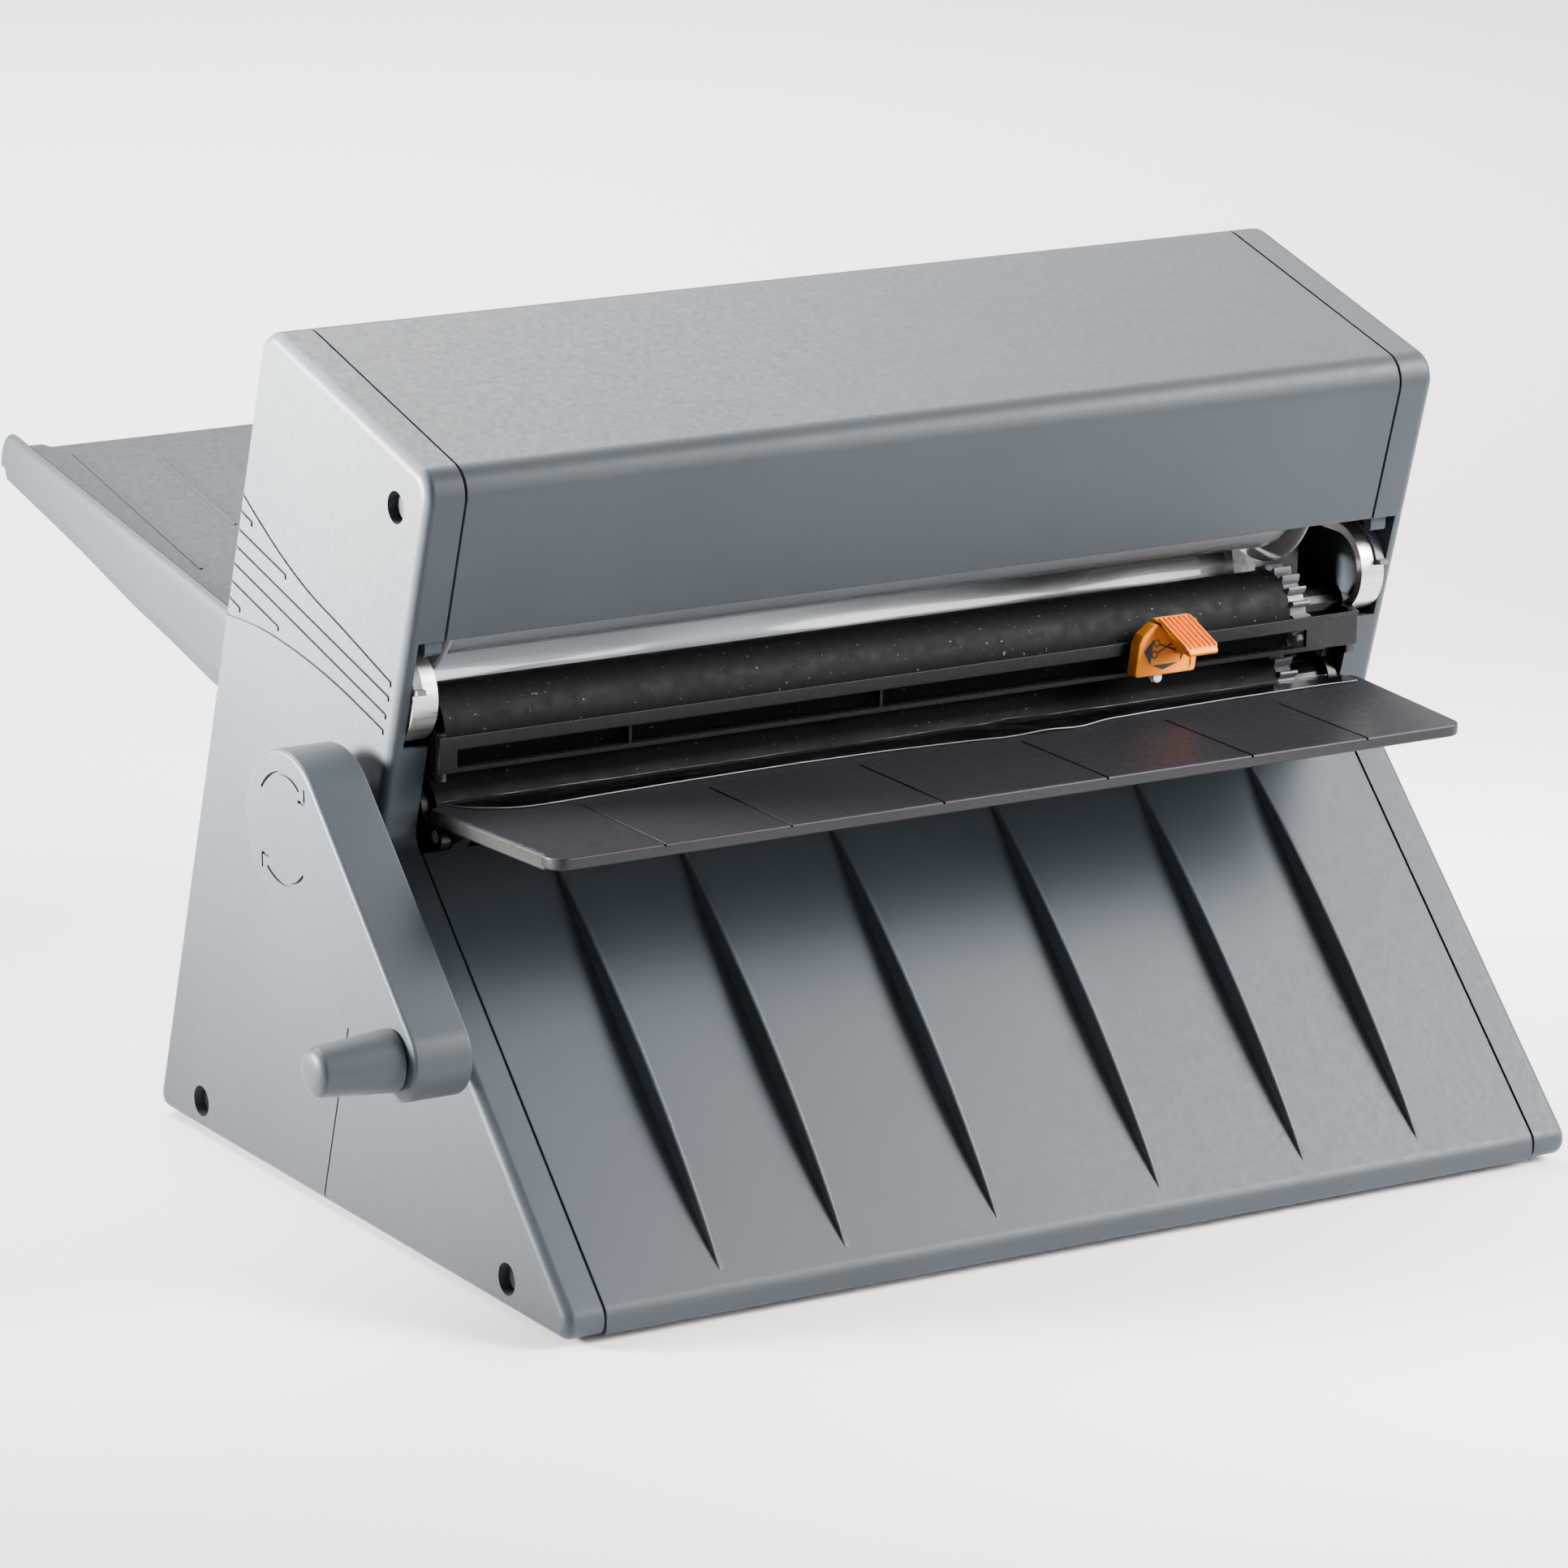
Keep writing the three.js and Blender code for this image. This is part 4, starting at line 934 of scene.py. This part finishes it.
def cutter():
    x = CUTTER_X
    outline = [
        (x - 11.6, 151.8, 1.2), (x + 12.2, 151.8, 1.2), (x + 12.8, 156.6, 1), (x + 11, 169, 0.8),
        (x - 4, 169, 1), (x - 8.6, 165.6, 1.5), (x - 10.2, 162.8, 2),
    ]
    body = across_y(bmesh.new(), rounded(outline, 6), CUTTER_FACE, -102.4)
    piece = new_object("cutter_body_shell", body)
    soften(piece, 0.6, 3, 40)
    field = [
        (x - 9.2, 153.2, 0.8), (x + 10.4, 153.2, 0.8), (x + 10.6, 157, 1), (x + 9.4, 167.2, 0.8),
        (x - 3.2, 167.2, 0.8), (x - 7.4, 164.4, 1), (x - 8.4, 162.4, 1),
    ]
    inner = rounded(field, 4)
    carve(piece, across_y(bmesh.new(), inner, CUTTER_FACE - 1, CUTTER_FACE + MARK_DEPTH))
    carve(piece, block(bmesh.new(), x - 6, x + 8, -103, -99.4, 153, 157.9), "UNION")
    carve(piece, block(bmesh.new(), x - 6, x + 8, -100.1, -99.3, 153, 159.4), "UNION")
    carve(piece, block(bmesh.new(), x - 4.2, x + 0.2, -104.1, -103.1, 140, 160))
    carve(piece, across_y(bmesh.new(), circle(FOOT_AT, 2.0, 32), -107.2, -105))
    settle(piece, "orange_plastic", "cutter", "cutter_body", sharp=34)
    stub = across_y(bmesh.new(), circle(FOOT_AT, 1.8, 32), -106.9, -105.1)
    nib = new_object("cutter_nib", stub)
    soften(nib, 0.35, 3)
    settle(nib, "white_plastic", "cutter", "cutter_foot")
    cutter_marks(CUTTER_FACE + MARK_DEPTH)
    cutter_grip()


def flat_mark(bm, outline, y, proud=0.07):
    """A thin printed shape, standing a hair proud of the face at y."""
    return across_y(bm, outline, y - proud, y + 0.02)


def cutter_marks(y):
    """Plain black marks: an arrow head each way along the rail, one down, and a pair of scissors."""
    x = CUTTER_X
    marks = bmesh.new()
    flat_mark(marks, [(x - 8.0, 160.4), (x - 5.4, 155.4), (x - 4.2, 164.2)], y)
    flat_mark(marks, [(x - 5.0, 155.4), (x - 0.4, 153.5), (x + 5.6, 155.4)], y)
    flat_mark(marks, [(x + 8.6, 159.4), (x + 6.6, 163.4), (x + 6.4, 155.6)], y)
    settle(new_object("cutter_arrows", marks), "black_print", "cutter", slot="orange_plastic")
    rings = ((x - 3.0, 162.7), (x - 3.8, 158.9))
    for i, centre in enumerate(rings):
        disc = flat_mark(bmesh.new(), circle(centre, 1.35, 24), y)
        ring = new_object(f"cutter_scissor_ring_{i + 1}", disc)
        carve(ring, across_y(bmesh.new(), circle(centre, 0.85, 24), y - 1, y + 1))
        settle(ring, "black_print", "cutter", slot="orange_plastic")
    ends = (((x - 1.8, 162.2), (x + 4.6, 159.6)), ((x - 2.6, 159.5), (x + 4.2, 162.6)))
    for i, (start, end) in enumerate(ends):
        stroke = flat_mark(bmesh.new(), strip_points([start, end], 0.62), y, 0.07 + 0.03 * i)
        blade = new_object(f"cutter_scissor_blade_{i + 1}", stroke)
        settle(blade, "black_print", "cutter", slot="orange_plastic")


def cutter_grip():
    """A thumb plate that slopes down and forward on a web, with rounded ridges along the slope."""
    x0, x1 = CUTTER_X - 2.6, CUTTER_X + 11.6
    section = [
        (-103, 169.1), (-103, 170.3, 0.6), (-105.5, 170.3, 2), (-122.8, 163.4, 0.8),
        (-123.6, 162.2, 0.5), (-122.6, 161.2, 0.5), (-107.9, 167.2, 1), (-107.9, 169.1),
    ]
    grip = new_object("cutter_grip_plate", along_x(bmesh.new(), rounded(section, 5), x0, x1))
    for sign, corner in ((1, x0), (-1, x1)):
        trim = bmesh.new()
        outline = [(corner - sign, -125), (corner + 1.8 * sign, -125), (corner - sign, -112)]
        up_z(trim, outline, 155, 175)
        carve(grip, trim)
    soften(grip, 0.6, 3, 40)
    settle(grip, "orange_plastic", "cutter", "cutter_grip")
    web = [(-107.7, 168), (-119, 163.4), (-117, 161.2, 1), (-107.7, 158.4)]
    bm = along_x(bmesh.new(), rounded(web, 4), CUTTER_X + 4, CUTTER_X + 10)
    piece = new_object("cutter_grip_web", bm)
    soften(piece, 0.4)
    settle(piece, "orange_plastic", "cutter", "cutter_grip")
    ridges = bmesh.new()
    start, end = Vector((-105.4, 170.3)), Vector((-122.2, 163.6))
    fall = (end - start).normalized()
    lift = Vector((fall.y, -fall.x))
    for i in range(7):
        x = x0 + 1.3 + i * 1.93
        rings = []
        for t, size in ((0, 0.3), (0.02, 0.75), (0.06, 1), (0.94, 1), (0.98, 0.75), (1, 0.3)):
            base = start.lerp(end, t)
            ring = []
            for angle in range(0, 360, 30):
                wide = 0.64 * size * math.cos(math.radians(angle))
                up = lift * (0.8 * size * math.sin(math.radians(angle)))
                ring.append(P(x + wide, base.x + up.x, base.y + up.y))
            rings.append(ring)
        loft(ridges, rings)
    piece = new_object("cutter_grip_ridges", ridges)
    settle(piece, "orange_plastic", "cutter", "cutter_grip", sharp=50)


# ------------------------------------------------------------------ rollers and film


def roller(prefix, centre):
    tube = bar(bmesh.new(), centre, 13.8, -171.5, 150, 96)
    rubber = new_object(f"{prefix}_roller_sleeve", tube)
    carve(rubber, bar(bmesh.new(), centre, 5.3, -173, 152, 48))
    soften(rubber, 0.6, 3)
    settle(rubber, "black_rubber", f"{prefix}_roller", f"{prefix}_roller_rubber")
    refined(f"{prefix}_roller_gear", "grey_nylon", f"{prefix}_roller", 0.18)


def shaft(prefix, centre, left):
    piece = new_object(f"{prefix}_roller_axle", bar(bmesh.new(), centre, 5, left, 175.2, 48))
    soften(piece, 0.5)
    settle(piece, "black_plastic", f"{prefix}_roller", f"{prefix}_roller_shaft", slot="bright_steel")


def supply(prefix, centre):
    body = f"{prefix}_supply"
    left, right = -168.0, 152.0
    turns = [(left, 16.3), (left, 27.2), (left + 0.3, 27.8), (left + 0.8, 28)]
    turns += [(right - 0.8, 28), (right - 0.3, 27.8), (right, 27.2), (right, 16.3)]
    roll = new_object(f"{body}_roll", turned(bmesh.new(), centre, turns, 96))
    carve(roll, bar(bmesh.new(), centre, 16.3, left - 3, right + 3, 64))
    settle(roll, "film_roll", body, f"{body}_film")
    for side, word in SIDES:
        start = (right if side > 0 else -left) + 1.4
        disc = [
            (-13, 12.7), (0, 12.7), (0, 31.8), (0.3, 32.6), (0.7, 33),
            (1.4, 33), (1.8, 32.6), (2, 31.8), (2, 4.9),
        ]
        profile = [(side * (start + x), radius) for x, radius in disc]
        profile.append((side * 175.2, 4.9))
        piece = new_object(f"{body}_disc_{word}", turned(bmesh.new(), centre, profile, 72))
        settle(piece, "smoke_plastic", body, f"{body}_flange_{word}")


def pressure_band(side, word):
    y, z = BAND_CENTRE
    outer = [(-50, z + 15), *arc_points(BAND_CENTRE, 15, 90, 270, 48), (-50, z - 15)]
    inner = [(-50, z - 12), *arc_points(BAND_CENTRE, 12, 270, 90, 48), (-50, z + 12)]
    x0, x1 = span(side, CAP_SEAM - 0.6, CAP_OUT - CAP_WALL - 0.5)
    band = new_object(f"pressure_band_{word}_strip", along_x(bmesh.new(), outer + inner, x0, x1))
    carve(band, block(bmesh.new(), *span(side, 181.2, CAP_OUT), y - 30, -49, z + 3, z + 30))
    soften(band, 0.3, 2)
    settle(band, "bright_steel", "chassis", f"pressure_band_{word}")


def sheet_body(bm, rows, thickness):
    """A thin closed sheet over a grid of points; thickness is a vector from one side to the other."""
    sides = [[[bm.verts.new(point + shift) for point in row] for row in rows]
             for shift in (Vector(), Vector(thickness) * MM)]
    n, m = len(rows), len(rows[0])
    for grid in sides:
        for i in range(n - 1):
            for j in range(m - 1):
                bm.faces.new((grid[i][j], grid[i + 1][j], grid[i + 1][j + 1], grid[i][j + 1]))
    low, top = sides
    for i in range(n - 1):
        for j in (0, m - 1):
            bm.faces.new((low[i][j], low[i + 1][j], top[i + 1][j], top[i][j]))
    for j in range(m - 1):
        for i in (0, n - 1):
            bm.faces.new((low[i][j], low[i][j + 1], top[i][j + 1], top[i][j]))
    return bm


def upper_web():
    """The clear film from the upper supply roll down behind the upper roller to the nip."""
    run = [(-66.0, 180.4), (-64.9, 178.0), (-66.3, 172.0), (-68.0, 166.0), (-69.4, 160.6)]
    run += arc_points(NIP_UPPER, 14.4, -6, -52, 6)
    rows = []
    x0, x1, count = -167.0, 149.0, 90
    for i in range(count + 1):
        x = x0 + (x1 - x0) * i / count
        row = []
        for j, (y, z) in enumerate(run):
            slack = math.sin(math.pi * min(j / 4, 1.0)) * 1.3
            wave = noise.noise(Vector((x * 0.018, j * 0.35, 1.3)))
            row.append(P(x, y + slack * wave, z))
        rows.append(row)
    piece = new_object("upper_film_web", sheet_body(bmesh.new(), rows, (0, 0.12, 0)))
    # Its colour is painted light at the left end, fading to painted shade at the right end.
    settle(piece, "web_film_painted_light_and_shade", "chassis", slot="clear_plastic", sharp=60)


# ------------------------------------------------------------------ crank

KNOB = (NIP_LOWER[0] - 71.2, NIP_LOWER[1] - 55.0)
CRANK_FACE, CRANK_BACK = -218.5, -198.0
BIG_R, SMALL_R = 25.0, 13.5


def crank_outline(shrink=0.0):
    reach = Vector(KNOB) - Vector(NIP_LOWER)
    heading = math.degrees(math.atan2(reach.y, reach.x))
    lean = math.degrees(math.acos((BIG_R - SMALL_R) / reach.length))
    hub = arc_points(NIP_LOWER, BIG_R - shrink, heading + lean, heading - lean + 360, 56)
    return hub + arc_points(KNOB, SMALL_R - shrink, heading - lean, heading + lean, 32)


def arrow(obj, start, end):
    """A thin arc about the crank's axis, with an arrowhead at its end; angles in degrees."""
    radius, face = 17.6, CRANK_FACE
    engrave(obj, arc_points(NIP_LOWER, radius, start, end, 24), 1.0, 0.9, face)
    turn = 1 if end > start else -1
    tip = arc_points(NIP_LOWER, radius, end + turn * 16, end + turn * 17, 1)[0]
    for r in (radius - 3.0, radius + 3.0):
        barb = arc_points(NIP_LOWER, r, end + turn * 5, end + turn * 6, 1)[0]
        engrave(obj, [tip, barb], 1.0, 0.95, face)


def crank():
    rim = 1.3
    sections = [(CRANK_BACK, rim), (CRANK_BACK - 0.5, 0.4), (CRANK_BACK - rim, 0.0)]
    for i in range(6):
        angle = math.radians(18 * i)
        sections.append((CRANK_FACE + rim * (1 - math.sin(angle)), rim * (1 - math.cos(angle))))
    rings = [[P(x, y, z) for y, z in crank_outline(d)] for x, d in sections]
    arm = new_object("crank_arm_body", loft(bmesh.new(), rings))
    carve(arm, bar(bmesh.new(), NIP_LOWER, 10, CRANK_BACK - 4, -CAP_OUT - 1.5), "UNION")
    carve(arm, bar(bmesh.new(), NIP_LOWER, 7.6, CRANK_BACK - 3, -180.5), "UNION")
    arrow(arm, 35, 125)
    arrow(arm, 222, 306)
    carve(arm, bar(bmesh.new(), NIP_LOWER, 5.3, CRANK_BACK + 0.3, -180, 40))
    settle(arm, "housing_plastic", "lower_roller", "crank_arm", sharp=34)
    base = CRANK_FACE - 0.4
    profile = [(base, 9.2), (base - 0.3, 9.8), (base - 1.0, 10.0), (base - 25.6, 7.9)]
    for i in range(1, 9):
        angle = math.radians(90 * i / 8)
        profile.append((base - 25.6 - 3.4 * math.sin(angle), 7.9 * math.cos(angle) ** 0.62))
    knob = new_object("crank_knob_grip", turned(bmesh.new(), KNOB, profile, 64))
    carve(knob, bar(bmesh.new(), KNOB, 2.8, base - 22, base + 1, 32))
    settle(knob, "housing_plastic", "knob", "crank_knob", sharp=50)


# ------------------------------------------------------------------ assembly

for side, word in SIDES:
    end_cap(side, word)
    pressure_band(side, word)
    refined(f"band_clip_{word}", "grey_nylon", "chassis", 0.2)
    frame_piece = refined(f"side_frame_{word}", "black_plastic", "chassis", 0.3)
    carve(frame_piece, block(bmesh.new(), *span(side, 171, 176.5), -110, -71, 163.5, 193))
    for place in ("top", "rear", "front"):
        # The cap screws take near-black steel, so their counterbores read as dark holes.
        refined(f"cap_screw_{word}_{place}", "near_black_steel", "chassis", 0.3, slot="bright_steel")

front_panel()
top_cover()
feed_tray()
exit_tray()
film_web()
upper_web()
edge_guide()
rail()
cutter()
roller("upper", NIP_UPPER)
roller("lower", NIP_LOWER)
shaft("upper", NIP_UPPER, -175.2)
shaft("lower", NIP_LOWER, -197.2)
supply("upper", (-71, 209))
supply("lower", (-48, 96))
crank()

for name in ("rear_lower_panel", "rear_upper_panel", "feed_guide"):
    refined(name, "housing_plastic", "chassis", 0.45)
refined("base_plate", "galvanised_steel", "chassis", 0.4)
refined("cutter_blade", "bright_steel", "cutter", 0.1)
for end in ("front", "rear"):
    for _, word in SIDES:
        refined(f"foot_{end}_{word}", "rubber_foot", "chassis", 0.8)

# The CAD nodes that stay keep their own shape and take a material.
SLOT_OF = {row["node"]: row["material_slot"] for row in frame["record"]["subparts"]}
for name, node in NODES.items():
    if not node.hide_render:
        node.data.materials.clear()
        node.data.materials.append(LOOKS[SLOT_OF[name]])

# ------------------------------------------------------------------ floor and light


def add_floor():
    bm = bmesh.new()
    bmesh.ops.create_grid(bm, x_segments=1, y_segments=1, size=25.0)
    floor = new_object("studio_floor", bm)
    material = new_material("studio_floor", (0.90, 0.90, 0.90), 0.9, specular=0.1)
    floor.data.materials.append(material)


def add_light(name, at, power, size, aim, spread=180, color=(1, 1, 1)):
    data = bpy.data.lights.new(name, "AREA")
    data.energy = power
    data.shape = "RECTANGLE"
    data.size, data.size_y = size
    data.spread = math.radians(spread)
    data.color = color
    light = bpy.data.objects.new(name, data)
    SCENE.collection.objects.link(light)
    light.location = at
    light.visible_camera = False
    light.rotation_euler = (Vector(aim) - Vector(at)).to_track_quat("-Z", "Y").to_euler()


def add_sun(power, come_from, angle):
    data = bpy.data.lights.new("overhead", "SUN")
    data.energy = power
    data.angle = math.radians(angle)
    sun = bpy.data.objects.new("overhead", data)
    SCENE.collection.objects.link(sun)
    sun.rotation_euler = Vector(come_from).to_track_quat("Z", "Y").to_euler()


def add_world(horizon, sky):
    """A pale band at the horizon under a dimmer sky."""
    world = bpy.data.worlds.new("studio")
    world.use_nodes = True
    nodes, links = world.node_tree.nodes, world.node_tree.links
    background = nodes["Background"]
    background.inputs["Color"].default_value = (1.0, 1.0, 1.0, 1.0)
    coordinates = nodes.new("ShaderNodeTexCoord")
    axes = nodes.new("ShaderNodeSeparateXYZ")
    climb = nodes.new("ShaderNodeMapRange")
    climb.inputs["From Min"].default_value = 0.02
    climb.inputs["From Max"].default_value = 0.24
    climb.inputs["To Min"].default_value = horizon
    climb.inputs["To Max"].default_value = sky
    links.new(coordinates.outputs["Generated"], axes.inputs["Vector"])
    links.new(axes.outputs["Z"], climb.inputs["Value"])
    links.new(climb.outputs["Result"], background.inputs["Strength"])
    SCENE.world = world


add_floor()
add_world(0.62, 0.08)
add_sun(1.3, (0.2, 0.5, 1.0), 50)
WARM = (1.0, 0.965, 0.91)
add_light("left_key", (-0.80, 0.30, 0.35), 34, (0.35, 0.30), (-0.19, 0.02, 0.36), 56, WARM)
add_light("top_back", (0.2, 1.5, 1.9), 125, (2.6, 1.2), (0.35, 1.0, 0.0), 130)
add_light("top_sheen", (0.95, 0.95, 1.35), 2.5, (1.6, 1.1), (0.0, 0.0, 0.25), 60)
add_light("right_sheen", (0.95, -0.62, 0.66), 12, (0.9, 0.8), (0.19, -0.15, 0.03), 50)
add_light("front_card", (0.80, -1.38, 0.50), 0.9, (0.9, 0.32), (-0.06, -0.07, 0.17), 40)
